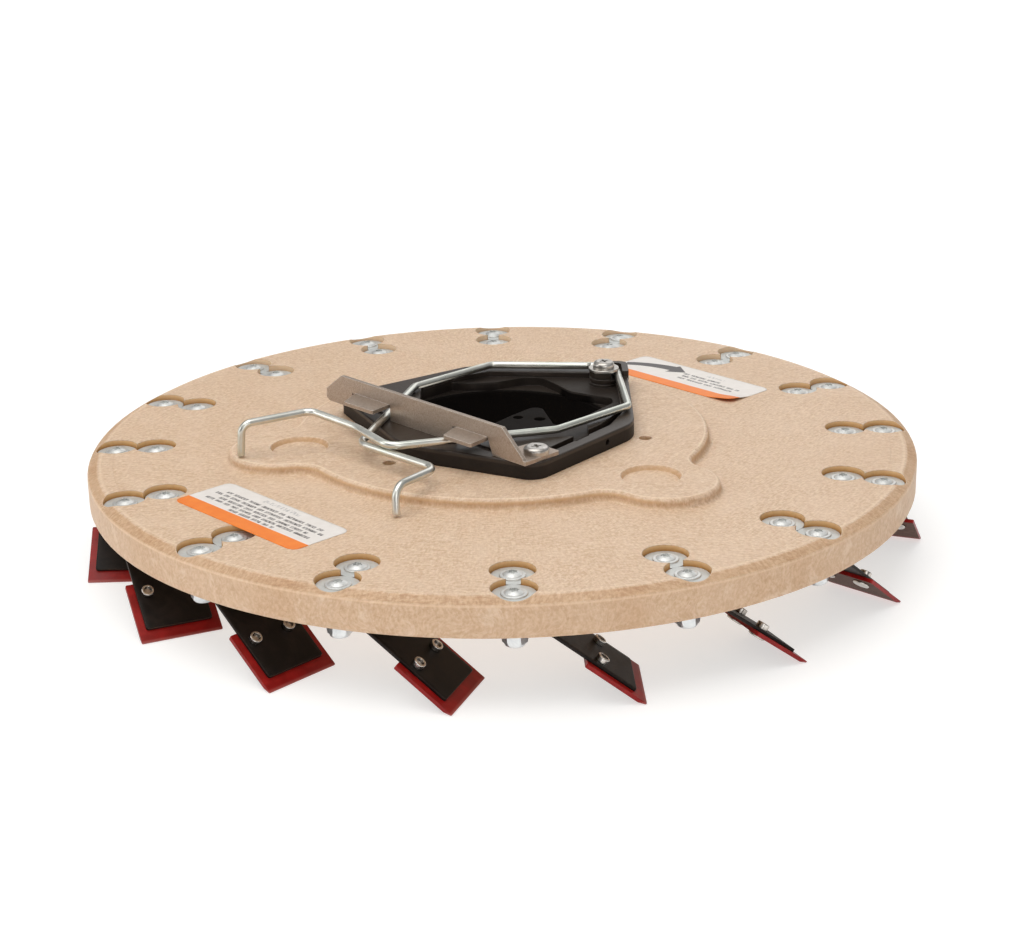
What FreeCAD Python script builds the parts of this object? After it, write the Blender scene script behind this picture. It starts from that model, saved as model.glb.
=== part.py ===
"""Rotary scraper disc for a floor machine.

A round mounting block carries sixteen spring-steel arms underneath, each with
a bolted scraper blade, and a clutch plate with a squeeze latch on top.
Frame: millimetres, +X right, -Y front, +Z up, origin on the spin axis at the
level of the block's flat upper face.  The disc stands on the blade edges.
"""
import FreeCAD, Part
import math
import os

V = FreeCAD.Vector
os.makedirs("parts", exist_ok=True)

INCH = 25.4
Z_AXIS = V(0, 0, 1)
CLEAR = 1.0                # how far cutting tools run past the faces they open
EDGE_TOL = 1e-3            # tolerance for picking edges by height

# Mounting block
BLOCK_R = 9 * INCH
BLOCK_T = 20.0
BLOCK_BOTTOM = -BLOCK_T
BEVEL_W, BEVEL_H = 6.2, 3.2
CENTRE_HOLE_R = 2.5 * INCH
PLATEAU_R, PLATEAU_H = 115.4, 5.8
PLATEAU_NECK_R, PLATEAU_TOP_R, PLATEAU_FOOT_R = 16.0, 2.6, 2.2     # fillets
LOBE_AT, LOBE_R = 123.4, 29.0
LOBE_ANGLES = [-47.0 + 120.0 * i for i in range(3)]
RECESS_AT, RECESS_R, RECESS_D = 113.6, 16.0, 2.8
RECESS_TAPER, RECESS_RIM_R = 1.4, 0.9
BOLT_CIRCLE_R = 82.3
FREE_HOLE_R = 3.6
FREE_HOLE_ANGLES = [-17.0 + 120.0 * i for i in range(3)]
CLUTCH_HOLE_R = 3.3
LATCH_PIVOT = (60.2, 56.1)
BAR_SCREW_R, BAR_SCREW_ANGLES = 80.0, (163.0, 283.0)

# Blade stations and the hardware that holds each arm
STATIONS = 16
STATION_0 = -88.84         # angle of station 1, degrees
STATION_STEP = 360.0 / STATIONS
STATION_SCREW_AT = (193.2, 214.9)      # inner and outer screw, from the spin axis
POCKET_R, POCKET_D = 11.4, 4.7
WASHER_R, WASHER_HOLE_R, WASHER_T = 10.8, 3.4, 1.6
SCREW_SHANK_R, SCREW_HOLE_R = 3.15, 3.6
SCREW_HEAD_R, SCREW_HEAD_H = 4.8, 2.5
SCREW_RECESS_R, SCREW_RECESS_D = 2.6, 1.5
SCREW_TAIL = 7.8           # below the block
SCREW_TURN = 37.0          # recess turn from one screw to the next, degrees
FLANGE_R, FLANGE_T, FLANGE_EDGE_R = 6.5, 0.8, 0.5
NUT_AF = 11.1              # across flats
LOCK_NUT_H, LOCK_NUT_TURN = 5.4, 23.0
LOCK_NUT_TOP_R, LOCK_NUT_LOW_R = 6.9, 6.05     # cone that trims the corners
LOCK_CAP_R, LOCK_CAP_H, LOCK_CAP_EDGE_R = 5.2, 7.3, 1.5
LOCK_BORE_D = 6.4

# Spring arms and blades
ARM_T = 1.6
ARM_R0, ARM_R1 = 187.5, 222.0
ARM_FOOT_Y = -16.0
ARM_FOOT_CORNER_R, ARM_TIP_CORNER_R = 3.0, 1.2
ARM_HOLE_R = 3.5
ARM_CORNER_Y = 16.25       # where foot and slope centre planes meet
ARM_SLOPE = 37.4           # degrees below horizontal
ARM_BEND_R = 8.0           # on the centre plane
ARM_LEN = 50.0
BLADE_R0, BLADE_R1 = 183.8, 225.9
BLADE_TOP, BLADE_EDGE = 21.9, 56.7     # distances down the slope
BLADE_T = 2.0
BLADE_CORNER_RADII = (0.8, 0.8, 0.6, 0.6)
BEVEL_LEN, BEVEL_RUNOUT, BEVEL_RISE = 4.0, 0.5, 1.55
BLADE_BOLT_DOWN = 29.2
BLADE_BOLT_AT = (195.6, 216.4)
BLADE_SCREW_R, BLADE_HOLE_R = 2.1, 2.35
BLADE_SCREW_OUT = 1.7      # screw end above the arm
BARREL_R, BARREL_H, BARREL_EDGE_R = 3.15, 3.0, 0.45
TRUSS_R, TRUSS_H, TRUSS_EDGE_R = 4.4, 1.3, 0.9

# Clutch plate and sleeve
RIM_Z = 15.2               # deck of the clutch plate
FLOOR_Z = 12.0             # flange the driver turns under
BASE_Z = 7.0
GUARD_Z = 19.0
SLEEVE_OUTER_R, SLEEVE_INNER_R, SLEEVE_EDGE_R = 63.0, 60.0, 0.8
POST_R, POST_Z = 8.3, 20.6
GROOVE_ZS, GROOVE_H, GROOVE_D = (13.6, 16.6), 0.7, 0.45

# Latch bar, wire, screws and nuts
BAR_ANGLE = -47.0
BAR_OUTER, BAR_T, BAR_H = 54.15, 2.2, 17.1
BAR_INNER = BAR_OUTER - BAR_T
TAB_Z0, TAB_Z1 = 22.3, 24.4
WIRE_R, WIRE_TIP_R = 2.1, 0.5
LATCH_WASHER_R, LATCH_WASHER_T = 8.8, 1.6
LATCH_SCREW_TAIL = 7.5     # below the block
LATCH_RECESS_D = 1.7
LATCH_NUT_H, LATCH_NUT_CAP_R, LATCH_NUT_CAP_H = 5.6, 4.9, 6.9

LABEL_T = 0.25


# ------------------------------------------------------------------- helpers
def polar(radius, degrees):
    a = math.radians(degrees)
    return V(radius * math.cos(a), radius * math.sin(a), 0)


def round_corner(before, corner, after, radius, limit):
    """Start, middle and end of the arc; its legs take at most limit of each side."""
    back = before - corner
    ahead = after - corner
    back_len, ahead_len = back.Length, ahead.Length
    back.normalize()
    ahead.normalize()
    angle = math.acos(max(-1.0, min(1.0, back.dot(ahead))))
    leg = min(radius / math.tan(angle / 2.0), limit * back_len, limit * ahead_len)
    radius = leg * math.tan(angle / 2.0)
    bisector = back + ahead
    bisector.normalize()
    centre = corner + bisector * (radius / math.sin(angle / 2.0))
    return corner + back * leg, centre - bisector * radius, corner + ahead * leg


def rounded_wire(points, z):
    """Closed polygon (x, y, corner radius) turned into lines and arcs."""
    places = [V(x, y, z) for x, y, radius in points]
    count = len(points)
    corners = []
    for i, place in enumerate(places):
        radius = points[i][2]
        if radius > 0:
            after = places[(i + 1) % count]
            corners.append(round_corner(places[i - 1], place, after, radius, 0.49))
        else:
            corners.append((place, place, place))
    edges = []
    for i, (start, middle, end) in enumerate(corners):
        if (start - end).Length > 1e-6:
            edges.append(Part.Arc(start, middle, end).toShape())
        following = corners[(i + 1) % count][0]
        if (following - end).Length > 1e-6:
            edges.append(Part.makeLine(end, following))
    return Part.Wire(edges)


def prism(points, z0, z1):
    return Part.Face(rounded_wire(points, z0)).extrude(V(0, 0, z1 - z0))


def polygon_face(points):
    return Part.Face(Part.makePolygon(points + [points[0]]))


def cyl(radius, z0, z1, x=0.0, y=0.0):
    return Part.makeCylinder(radius, z1 - z0, V(x, y, z0), Z_AXIS)


def hexagon(across_flats, z0, z1, x, y, turn):
    corners = [polar(across_flats / math.sqrt(3.0), 60 * i + turn) for i in range(6)]
    return prism([(x + c.x, y + c.y, 0) for c in corners], z0, z1)


def edges_above(shape, z):
    return [e for e in shape.Edges if e.BoundBox.ZMin > z - EDGE_TOL]


def edges_below(shape, z):
    return [e for e in shape.Edges if e.BoundBox.ZMax < z + EDGE_TOL]


def edges_round(shape, centre):
    """Edges whose centre of mass lies at the given point."""
    return [e for e in shape.Edges if (e.CenterOfMass - centre).Length < 0.3]


def dome_head(radius, height, z, x, y):
    """Short straight skirt, then a spherical crown."""
    rise = height - height * 0.4
    sphere_r = (radius * radius + rise * rise) / (2 * rise)
    crown = Part.makeSphere(sphere_r, V(x, y, z + height - sphere_r))
    return cyl(radius, z, z + height + 0.01, x, y).common(crown)


def pan_head(radius, height, z, x, y, shoulder):
    """Straight skirt, rounded shoulder and flat crown."""
    head = cyl(radius, z, z + height, x, y)
    return head.makeFillet(shoulder, edges_above(head, z + height))


def cross_recess(z_top, depth, x, y, size, turn):
    """Plus-shaped driver recess."""
    half, width = size / 2, size * 0.26
    bottom = z_top - depth
    along_x = Part.makeBox(size, width, depth + CLEAR, V(-half, -width / 2, bottom))
    along_y = Part.makeBox(width, size, depth + CLEAR, V(-width / 2, -half, bottom))
    cross = along_x.fuse(along_y)
    cross.rotate(V(0, 0, 0), Z_AXIS, turn)
    cross.translate(V(x, y, 0))
    return cross


def lobe_recess(z_top, depth, x, y, radius, turn):
    """Six-lobed driver recess."""
    z0, z1 = z_top - depth, z_top + CLEAR
    core_r = radius * 0.74
    lobes = []
    for i in range(6):
        spot = polar(core_r, 60 * i + turn)
        lobes.append(cyl(radius * 0.26, z0, z1, x + spot.x, y + spot.y))
    return cyl(core_r, z0, z1, x, y).fuse(lobes).removeSplitter()


def one(shape):
    """Merge split faces and unwrap a lone solid."""
    merged = shape.removeSplitter()
    return merged.Solids[0] if len(merged.Solids) == 1 else merged


def save(name, *shapes):
    solids = [solid for shape in shapes for solid in shape.Solids]
    piece = solids[0] if len(solids) == 1 else Part.makeCompound(solids)
    piece.exportStep("parts/%s.step" % name)


def to_station(shape, k):
    """Turn from the station frame (X radial, Y counterclockwise) to station k."""
    turned = shape.copy()
    turned.rotate(V(0, 0, 0), Z_AXIS, STATION_0 + STATION_STEP * k)
    return turned


# Latch bar frame: "along" runs with the bar, "outward" away from the spin axis.
BAR_ALONG = polar(1, BAR_ANGLE)
BAR_OUTWARD = polar(1, BAR_ANGLE - 90)


def bar_place(along, outward, z=0.0):
    place = BAR_ALONG * along + BAR_OUTWARD * outward
    return V(place.x, place.y, z)


def bar_prism(points, z0, z1):
    """Prism from an outline of (along, outward, corner radius)."""
    outline = []
    for along, outward, radius in points:
        place = bar_place(along, outward)
        outline.append((place.x, place.y, radius))
    return prism(outline, z0, z1)


PIVOT_SCREW = V(*LATCH_PIVOT, 0)
BAR_SCREWS = [polar(BAR_SCREW_R, a) for a in BAR_SCREW_ANGLES]
CLUTCH_SCREWS = [PIVOT_SCREW] + BAR_SCREWS
FREE_HOLES = [polar(BOLT_CIRCLE_R, a) for a in FREE_HOLE_ANGLES]
LOBES = [polar(LOBE_AT, a) for a in LOBE_ANGLES]


# ------------------------------------------------------------ mounting block
def make_disc():
    """Flat disc with a bevelled upper rim and a rounded lower one."""
    profile = [                # (radius, z)
        (0, BLOCK_BOTTOM),
        (BLOCK_R - 1.5, BLOCK_BOTTOM),
        (BLOCK_R - 0.45, BLOCK_BOTTOM + 0.45),
        (BLOCK_R, BLOCK_BOTTOM + 1.5),
        (BLOCK_R, -BEVEL_H - 0.5),
        (BLOCK_R - 0.5, -BEVEL_H + 0.35),
        (BLOCK_R - BEVEL_W + 0.7, -0.25),
        (BLOCK_R - BEVEL_W - 0.9, 0),
        (0, 0),
    ]
    face = polygon_face([V(radius, 0, z) for radius, z in profile])
    return face.revolve(V(0, 0, 0), Z_AXIS, 360)


def make_plateau():
    """Raised round centre with three lobes."""
    plateau = cyl(PLATEAU_R, -1.0, PLATEAU_H)
    for lobe in LOBES:
        plateau = plateau.fuse(cyl(LOBE_R, -1.0, PLATEAU_H, lobe.x, lobe.y))
    plateau = plateau.removeSplitter()
    # Upright edges where lobes meet the round wall; seam edges lie on only one.
    necks = []
    for edge in plateau.Edges:
        box = edge.BoundBox
        if box.XLength < EDGE_TOL and box.YLength < EDGE_TOL:
            spot = V(box.XMin, box.YMin, 0)
            off_lobe = min(abs((spot - lobe).Length - LOBE_R) for lobe in LOBES)
            if abs(spot.Length - PLATEAU_R) < 1.0 and off_lobe < 0.01:
                necks.append(edge)
    plateau = plateau.makeFillet(PLATEAU_NECK_R, necks)
    return plateau.makeFillet(PLATEAU_TOP_R, edges_above(plateau, PLATEAU_H))


def cut_lobe_recess(block, angle):
    """Shallow tapered recess with a rounded rim."""
    spot = polar(RECESS_AT, angle)
    block = block.cut(Part.makeCone(
        RECESS_R - RECESS_TAPER, RECESS_R, RECESS_D + 0.001,
        V(spot.x, spot.y, PLATEAU_H - RECESS_D), Z_AXIS))
    rim_centre = V(spot.x, spot.y, PLATEAU_H)
    rims = [e for e in block.Edges
            if len(e.Vertexes) == 1 and e.BoundBox.ZLength < EDGE_TOL
            and abs(e.BoundBox.ZMin - PLATEAU_H) < EDGE_TOL
            and (e.CenterOfMass - rim_centre).Length < 0.5]
    return block.makeFillet(RECESS_RIM_R, rims)


def make_block():
    block = make_disc().fuse(make_plateau()).removeSplitter()
    foot_line = [e for e in block.Edges
                 if abs(e.BoundBox.ZMin) < EDGE_TOL and abs(e.BoundBox.ZMax) < EDGE_TOL
                 and max(math.hypot(v.X, v.Y) for v in e.Vertexes) < BLOCK_R - 20]
    block = block.makeFillet(PLATEAU_FOOT_R, foot_line)
    for angle in LOBE_ANGLES:
        block = cut_lobe_recess(block, angle)

    below, above = BLOCK_BOTTOM - CLEAR, PLATEAU_H + CLEAR
    block = block.cut(cyl(CENTRE_HOLE_R, below, above))
    tools = []
    for k in range(STATIONS):
        for radius in STATION_SCREW_AT:
            spot = polar(radius, STATION_0 + STATION_STEP * k)
            tools.append(cyl(POCKET_R, -POCKET_D, CLEAR, spot.x, spot.y))
            tools.append(cyl(SCREW_HOLE_R, below, CLEAR, spot.x, spot.y))
    tools += [cyl(FREE_HOLE_R, below, above, c.x, c.y) for c in FREE_HOLES]
    tools += [cyl(CLUTCH_HOLE_R, below, above, c.x, c.y) for c in CLUTCH_SCREWS]
    return one(block.cut(tools))


save("mounting_block", make_block())

# ------------------------------------------------------------- clutch plate
# Outlines are (x, y, corner radius).
CLUTCH_OUTLINE = [
    (-93, 36, 11), (-54, -52, 34), (18, -90, 11), (73, -24, 26),
    (75, 77.5, 9), (-19.5, 86.7, 16),
]
FRONT_CORNER, BACK_RIGHT_CORNER = CLUTCH_OUTLINE[2], CLUTCH_OUTLINE[4]
WALL_ALONG = V(0.6207, 0.7840, 0)      # along the right front wall
WALL_INWARD = V(-WALL_ALONG.y, WALL_ALONG.x, 0)


def wall_place(inward, along):
    """Point measured from the front corner along and inside the right front wall."""
    corner = V(FRONT_CORNER[0], FRONT_CORNER[1], 0)
    return corner + WALL_ALONG * along + WALL_INWARD * inward


def wall_corner(inward, along, radius):
    place = wall_place(inward, along)
    return (place.x, place.y, radius)


DECK_POCKET = [
    (-46, 12, 4), (-18, -24, 8), (6, -46, 5), (39, -46, 1.0), (39, -55, 0.5),
    (47, -45, 0.5), (47, -25.5, 1.0), (67, -1, 8), (67, 66, 5), (45, 68.4, 10),
    (-6, 74.8, 5), (-28.5, 64, 3), (-46, 47, 4),
]
WALL_GROOVE = [
    wall_corner(6.2, 24, 1.5), wall_corner(6.0, 74, 6), (68.6, -3, 2),
    (65.2, -5.5, 1.5), wall_corner(11.0, 72, 6), wall_corner(11.0, 24, 1.5),
]
OPENING = [
    (-46, 13, 4), (-20, -22, 8), (-9, -19, 5), (6, 1, 9), (17.5, 14.5, 6),
    (23.2, 13.0, 4), (28.8, -16.5, 3), (35, -17, 5), (50, 1.2, 6), (63.6, 20, 6),
    (63.7, 28.4, 4), (52, 35.6, 10), (40.2, 43, 12), (31, 60, 10), (24, 71, 6),
    (13.5, 71.5, 7), (-2, 63.6, 12), (-18, 62.0, 6), (-28.6, 63.9, 2), (-45.9, 47, 4),
]
GUARD = [
    (71.2, 58, 0.8), (74.95, 58, 0.8), BACK_RIGHT_CORNER, (65.5, 78.4, 0.8),
    (65.5, 75.0, 0.8), (71.3, 74.4, 4),
]
# Shallow step along the bar side of the deck: (along, outward, corner radius)
DECK_STEP = [(-52, 51, 1), (-52, 47, 1), (50, 47, 1), (50, 51, 1)]
# Small upright holes: (radius, bottom z, x, y)
SMALL_HOLES = [
    (3.0, BASE_Z, 9.4, -2.6), (3.3, BASE_Z, 21.4, -6.2),
    (2.6, PLATEAU_H + 2, -51.2, 35.0),
]


def make_latch_post():
    """Round post with two grooves and a flat on its +X side."""
    post = cyl(POST_R, BASE_Z - 0.5, POST_Z, *LATCH_PIVOT)
    for z in GROOVE_ZS:
        ring = cyl(POST_R + 1, z, z + GROOVE_H, *LATCH_PIVOT)
        ring = ring.cut(cyl(POST_R - GROOVE_D, z - 1, z + 2, *LATCH_PIVOT))
        post = post.cut(ring)
    return post.cut(Part.makeBox(12.5, 44, 8, V(64.2, 34, 15.9)))


def make_clutch_plate():
    clutch = prism(CLUTCH_OUTLINE, PLATEAU_H, RIM_Z)
    clutch = clutch.makeFillet(0.9, edges_above(clutch, RIM_Z))
    clutch = clutch.cut([prism(DECK_POCKET, FLOOR_Z, RIM_Z + 2),
                         prism(WALL_GROOVE, FLOOR_Z - 1.0, RIM_Z + 2)])
    clutch = clutch.cut(prism(OPENING, BASE_Z, RIM_Z + 2))
    clutch = clutch.cut(bar_prism(DECK_STEP, RIM_Z - 1.2, RIM_Z + CLEAR))
    clutch = clutch.fuse(prism(GUARD, RIM_Z - 2, GUARD_Z))
    clutch = clutch.fuse(make_latch_post())
    # seat for the sleeve that lines the block's centre hole
    below, above = PLATEAU_H - CLEAR, POST_Z + CLEAR
    clutch = clutch.cut(cyl(CENTRE_HOLE_R, below, BASE_Z))

    holes = [cyl(FREE_HOLE_R, below, above, FREE_HOLES[1].x, FREE_HOLES[1].y)]
    holes += [cyl(CLUTCH_HOLE_R, below, above, c.x, c.y) for c in CLUTCH_SCREWS]
    for radius, z0, x, y in SMALL_HOLES:
        holes.append(cyl(radius, z0, RIM_Z + CLEAR, x, y))
    # cross hole through the right front wall
    cross_start = wall_place(-3, 61) + V(0, 0, 10.4)
    holes.append(Part.makeCylinder(1.7, 12, cross_start, WALL_INWARD))
    return one(clutch.cut(holes))


def make_sleeve():
    """Sleeve lining the centre hole: the driver's nose centres in it."""
    sleeve = cyl(SLEEVE_OUTER_R, BLOCK_BOTTOM, BASE_Z)
    sleeve = sleeve.makeFillet(SLEEVE_EDGE_R, edges_below(sleeve, BLOCK_BOTTOM))
    return sleeve.cut(cyl(SLEEVE_INNER_R, BLOCK_BOTTOM - CLEAR, BASE_Z + CLEAR))


save("clutch_plate", make_clutch_plate())
save("clutch_sleeve", make_sleeve())

# --------------------------------------------------------------- latch bar
BAR_UPRIGHT = [                # (along, z), seen square to the bar
    (-87.0, RIM_Z + 1.6), (-84.8, RIM_Z + 0.3), (-83.0, RIM_Z), (-62.5, RIM_Z),
    (-62.5, 24.3), (-31.5, 24.3), (-31.5, RIM_Z), (21.0, RIM_Z), (21.0, 24.3),
    (47.6, 24.3), (48.8, 20.5), (51.0, RIM_Z), (75.4, RIM_Z), (73.6, 18.6),
    (58.4, RIM_Z + BAR_H), (-73.2, RIM_Z + BAR_H), (-86.9, 22.3),
]
# Outlines of the bent tabs and feet: (along, outward, corner radius)
BAR_TABS = [
    [(-62.5, BAR_INNER, 0), (-32.8, BAR_INNER, 0), (-30.6, 67.6, 1.2), (-54.6, 67.6, 1.2)],
    [(21.9, BAR_INNER, 0), (46.6, BAR_INNER, 0), (48.6, 67.6, 1.2), (27.3, 67.6, 1.2)],
]
BAR_FEET = [
    [(75.4, BAR_OUTER, 0), (75.4, 29.2, 1.0), (56.0, 29.2, 1.0),
     (53.6, BAR_INNER, 0), (53.6, BAR_OUTER, 0)],
    [(-77.4, BAR_OUTER, 0), (-77.4, 31.0, 1.0), (-62.5, 31.0, 1.0),
     (-62.5, BAR_INNER, 0), (-62.5, BAR_OUTER, 0)],
]
RELIEF_R, RELIEF_Z, RELIEF_ALONG = 0.9, 23.2, (-63.6, 20.2)


def make_latch_bar():
    upright = polygon_face([bar_place(along, BAR_INNER, z) for along, z in BAR_UPRIGHT])
    bar = upright.extrude(BAR_OUTWARD * BAR_T)
    bar = bar.fuse([bar_prism(tab, TAB_Z0, TAB_Z1) for tab in BAR_TABS])
    bar = bar.fuse([bar_prism(foot, RIM_Z, RIM_Z + BAR_T) for foot in BAR_FEET])
    cuts = [cyl(FREE_HOLE_R, RIM_Z - CLEAR, RIM_Z + BAR_T + CLEAR, c.x, c.y)
            for c in BAR_SCREWS]
    # relief holes beside the root of each bent tab
    for along in RELIEF_ALONG:
        start = bar_place(along, BAR_INNER - 2, RELIEF_Z)
        cuts.append(Part.makeCylinder(RELIEF_R, BAR_T + 4, start, BAR_OUTWARD))
    return one(bar.cut(cuts))


save("latch_bar", make_latch_bar())


# ------------------------------------------------- latch screws, washer, nuts
def make_latch_screw(spot, seat_z, head_r, head_h, shoulder, recess_size, recess_turn):
    x, y = spot.x, spot.y
    head = pan_head(head_r, head_h, seat_z, x, y, shoulder)
    recess = cross_recess(seat_z + head_h, LATCH_RECESS_D, x, y, recess_size, recess_turn)
    shank = cyl(SCREW_SHANK_R, BLOCK_BOTTOM - LATCH_SCREW_TAIL, seat_z + 0.5, x, y)
    return one(head.cut(recess).fuse(shank))


def make_latch_washer():
    washer = cyl(LATCH_WASHER_R, POST_Z, POST_Z + LATCH_WASHER_T, *LATCH_PIVOT)
    washer = washer.makeFillet(0.35, [e for e in washer.Edges if e.BoundBox.XLength > 10])
    return washer.cut(cyl(CLUTCH_HOLE_R, POST_Z - 1, POST_Z + 3, *LATCH_PIVOT))


def make_clutch_nut(spot):
    """Capped hex nut under the block, its x used as an arbitrary turn in degrees."""
    x, y = spot.x, spot.y
    nut = hexagon(NUT_AF, BLOCK_BOTTOM - LATCH_NUT_H, BLOCK_BOTTOM, x, y, turn=x)
    nut = nut.fuse(cyl(LATCH_NUT_CAP_R, BLOCK_BOTTOM - LATCH_NUT_CAP_H,
                       BLOCK_BOTTOM - LATCH_NUT_H + 0.1, x, y))
    return one(nut.cut(cyl(SCREW_SHANK_R, BLOCK_BOTTOM - 8, BLOCK_BOTTOM + CLEAR, x, y)))


save("latch_bar_screws", *[
    make_latch_screw(spot, RIM_Z + BAR_T, head_r=6.8, head_h=4.0, shoulder=2.1,
                     recess_size=5.4, recess_turn=12)
    for spot in BAR_SCREWS])
save("latch_anchor_screw",
     make_latch_screw(PIVOT_SCREW, POST_Z + LATCH_WASHER_T, head_r=6.2, head_h=3.8,
                      shoulder=2.4, recess_size=5.0, recess_turn=20))
save("latch_anchor_washer", make_latch_washer())
save("clutch_plate_nuts", *[make_clutch_nut(spot) for spot in CLUTCH_SCREWS])

# --------------------------------------------------------------- latch wire
# One spring wire hooked round the post; each leg is its own swinging half.
# Points (x, y, z) run from the post to the cut tip, with a bend radius for
# each point between the ends.
FRONT_LEG = [
    (68.1, 56.8, 18.3), (70.6, -5.2, 18.3), (29.9, -42.8, 18.1), (-59.1, -71.6, 20.4),
    (-77.9, -45.6, 22.6), (-103.9, -23.4, 25.0), (-139.3, -42.8, 24.6),
    (-140.7, -42.8, 6.9),
]
FRONT_BENDS = [6.5, 9.0, 9.0, 40.0, 7.0, 5.5]
BACK_LEG = [
    (53.6, 71.9, 18.3), (-5.6, 77.7, 18.3), (-49.3, 38.2, 18.3), (-69.1, -32.0, 17.4),
    (-75.5, -53.8, 16.2), (-34.1, -92.6, 15.2), (-54.0, -118.6, 15.4),
    (-53.8, -121.9, 1.4),
]
BACK_BENDS = [7.0, 8.0, 60.0, 9.0, 7.5, 9.0]


def sweep_wire(edges, start, direction):
    """Round wire swept along a path."""
    section = Part.Wire(Part.makeCircle(WIRE_R, start, direction))
    return Part.Wire(edges).makePipeShell([section], True, False).Solids[0]


def make_leg(points, bends):
    """Leg along a polyline with rounded corners and a softened tip."""
    places = [V(*point) for point in points]
    edges = []
    start = places[0]
    for i, radius in enumerate(bends, 1):
        arc_start, middle, end = round_corner(
            places[i - 1], places[i], places[i + 1], radius, 0.48)
        edges.append(Part.makeLine(start, arc_start))
        edges.append(Part.Arc(arc_start, middle, end).toShape())
        start = end
    edges.append(Part.makeLine(start, places[-1]))
    direction = edges[0].tangentAt(edges[0].FirstParameter)
    leg = sweep_wire(edges, places[0], direction)
    return leg.makeFillet(WIRE_TIP_R, edges_round(leg, places[-1]))


def make_wire_bend():
    """Quarter bend round the post, joining the two legs."""
    front, back = V(*FRONT_LEG[0]), V(*BACK_LEG[0])
    front_run = (front - V(*FRONT_LEG[1])).normalize()
    back_run = (back - V(*BACK_LEG[1])).normalize()
    reach = (back - front).Length * 0.41
    curve = Part.BezierCurve()
    curve.setPoles([front, front + front_run * reach, back + back_run * reach, back])
    return sweep_wire([curve.toShape()], front, front_run)


save("latch_wire_front", make_leg(FRONT_LEG, FRONT_BENDS))
save("latch_wire_back", make_leg(BACK_LEG, BACK_BENDS))
save("latch_wire_bend", make_wire_bend())

# --------------------------------------------------------- station hardware
WASHER_TOP = -POCKET_D + WASHER_T
ARM_BOTTOM = BLOCK_BOTTOM - ARM_T


def make_station_screw(x, turn):
    """Flanged dome-headed screw seated on its washer."""
    flange_top = WASHER_TOP + FLANGE_T
    head = dome_head(SCREW_HEAD_R, SCREW_HEAD_H, WASHER_TOP, x, 0)
    flange = cyl(FLANGE_R, WASHER_TOP, flange_top, x, 0)
    flange = flange.makeFillet(FLANGE_EDGE_R, edges_above(flange, flange_top))
    shank = cyl(SCREW_SHANK_R, BLOCK_BOTTOM - SCREW_TAIL, WASHER_TOP + 0.4, x, 0)
    screw = head.fuse([flange, shank])
    return one(screw.cut(lobe_recess(WASHER_TOP + SCREW_HEAD_H, SCREW_RECESS_D,
                                     x, 0, SCREW_RECESS_R, turn)))


def make_station_washer(x):
    washer = cyl(WASHER_R, -POCKET_D, WASHER_TOP, x, 0)
    return washer.cut(cyl(WASHER_HOLE_R, -POCKET_D - CLEAR, WASHER_TOP + CLEAR, x, 0))


def make_lock_nut(x, turn):
    """Hex nut with trimmed corners and a rounded cap, under the arm."""
    nut = hexagon(NUT_AF, ARM_BOTTOM - LOCK_NUT_H, ARM_BOTTOM, x, 0, turn)
    cap_bottom = ARM_BOTTOM - LOCK_CAP_H
    cap = cyl(LOCK_CAP_R, cap_bottom, ARM_BOTTOM - LOCK_NUT_H + 0.1, x, 0)
    cap = cap.makeFillet(LOCK_CAP_EDGE_R, edges_below(cap, cap_bottom))
    trim = Part.makeCone(LOCK_NUT_TOP_R, LOCK_NUT_LOW_R, LOCK_NUT_H,
                         V(x, 0, ARM_BOTTOM), V(0, 0, -1))
    nut = nut.common(trim).fuse(cap)
    return one(nut.cut(cyl(SCREW_SHANK_R, ARM_BOTTOM - LOCK_BORE_D, ARM_BOTTOM + CLEAR, x, 0)))


screws, washers, lock_nuts = [], [], []
for k in range(STATIONS):
    for j, radius in enumerate(STATION_SCREW_AT):
        number = 2 * k + j
        screws.append(to_station(make_station_screw(radius, SCREW_TURN * number % 90), k))
        washers.append(to_station(make_station_washer(radius), k))
        lock_nuts.append(to_station(make_lock_nut(radius, LOCK_NUT_TURN * number % 60), k))
save("station_screws", *screws)
save("station_washers", *washers)
save("station_lock_nuts", *lock_nuts)

# --------------------------------------------------------- arms and blades
# Slope frame: x radial, "down" the slope, "out" of the arm's upper face,
# measured from the corner where the centre planes of foot and slope meet.
SLOPE = math.radians(ARM_SLOPE)
DOWN = V(0, math.cos(SLOPE), -math.sin(SLOPE))
OUT = V(0, math.sin(SLOPE), math.cos(SLOPE))
CORNER = V(0, ARM_CORNER_Y, BLOCK_BOTTOM - ARM_T / 2.0)
HALF_ARM = ARM_T / 2.0
BLADE_UNDER = -HALF_ARM - BLADE_T      # "out" level of the blade's underside
BEND_LEG = ARM_BEND_R * math.tan(SLOPE / 2.0)
BEND_Y = CORNER.y - BEND_LEG
BEND_Z = CORNER.z - ARM_BEND_R


def slope_place(x, down, out):
    return CORNER + V(x, 0, 0) + DOWN * down + OUT * out


def slope_plate(r0, r1, down0, down1, out0, out1, radii):
    """Flat plate lying on the slope, with a radius for each corner."""
    spots = [(r0, down0), (r1, down0), (r1, down1), (r0, down1)]
    outline = [spot + (radius,) for spot, radius in zip(spots, radii)]
    matrix = FreeCAD.Matrix(1, 0, 0, CORNER.x,
                            0, DOWN.y, OUT.y, CORNER.y,
                            0, DOWN.z, OUT.z, CORNER.z,
                            0, 0, 0, 1)
    return prism(outline, out0, out1).transformed(matrix, copy=True)


def slope_cyl(radius, x, down, out0, out1):
    return Part.makeCylinder(radius, out1 - out0, slope_place(x, down, out0), OUT)


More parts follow.
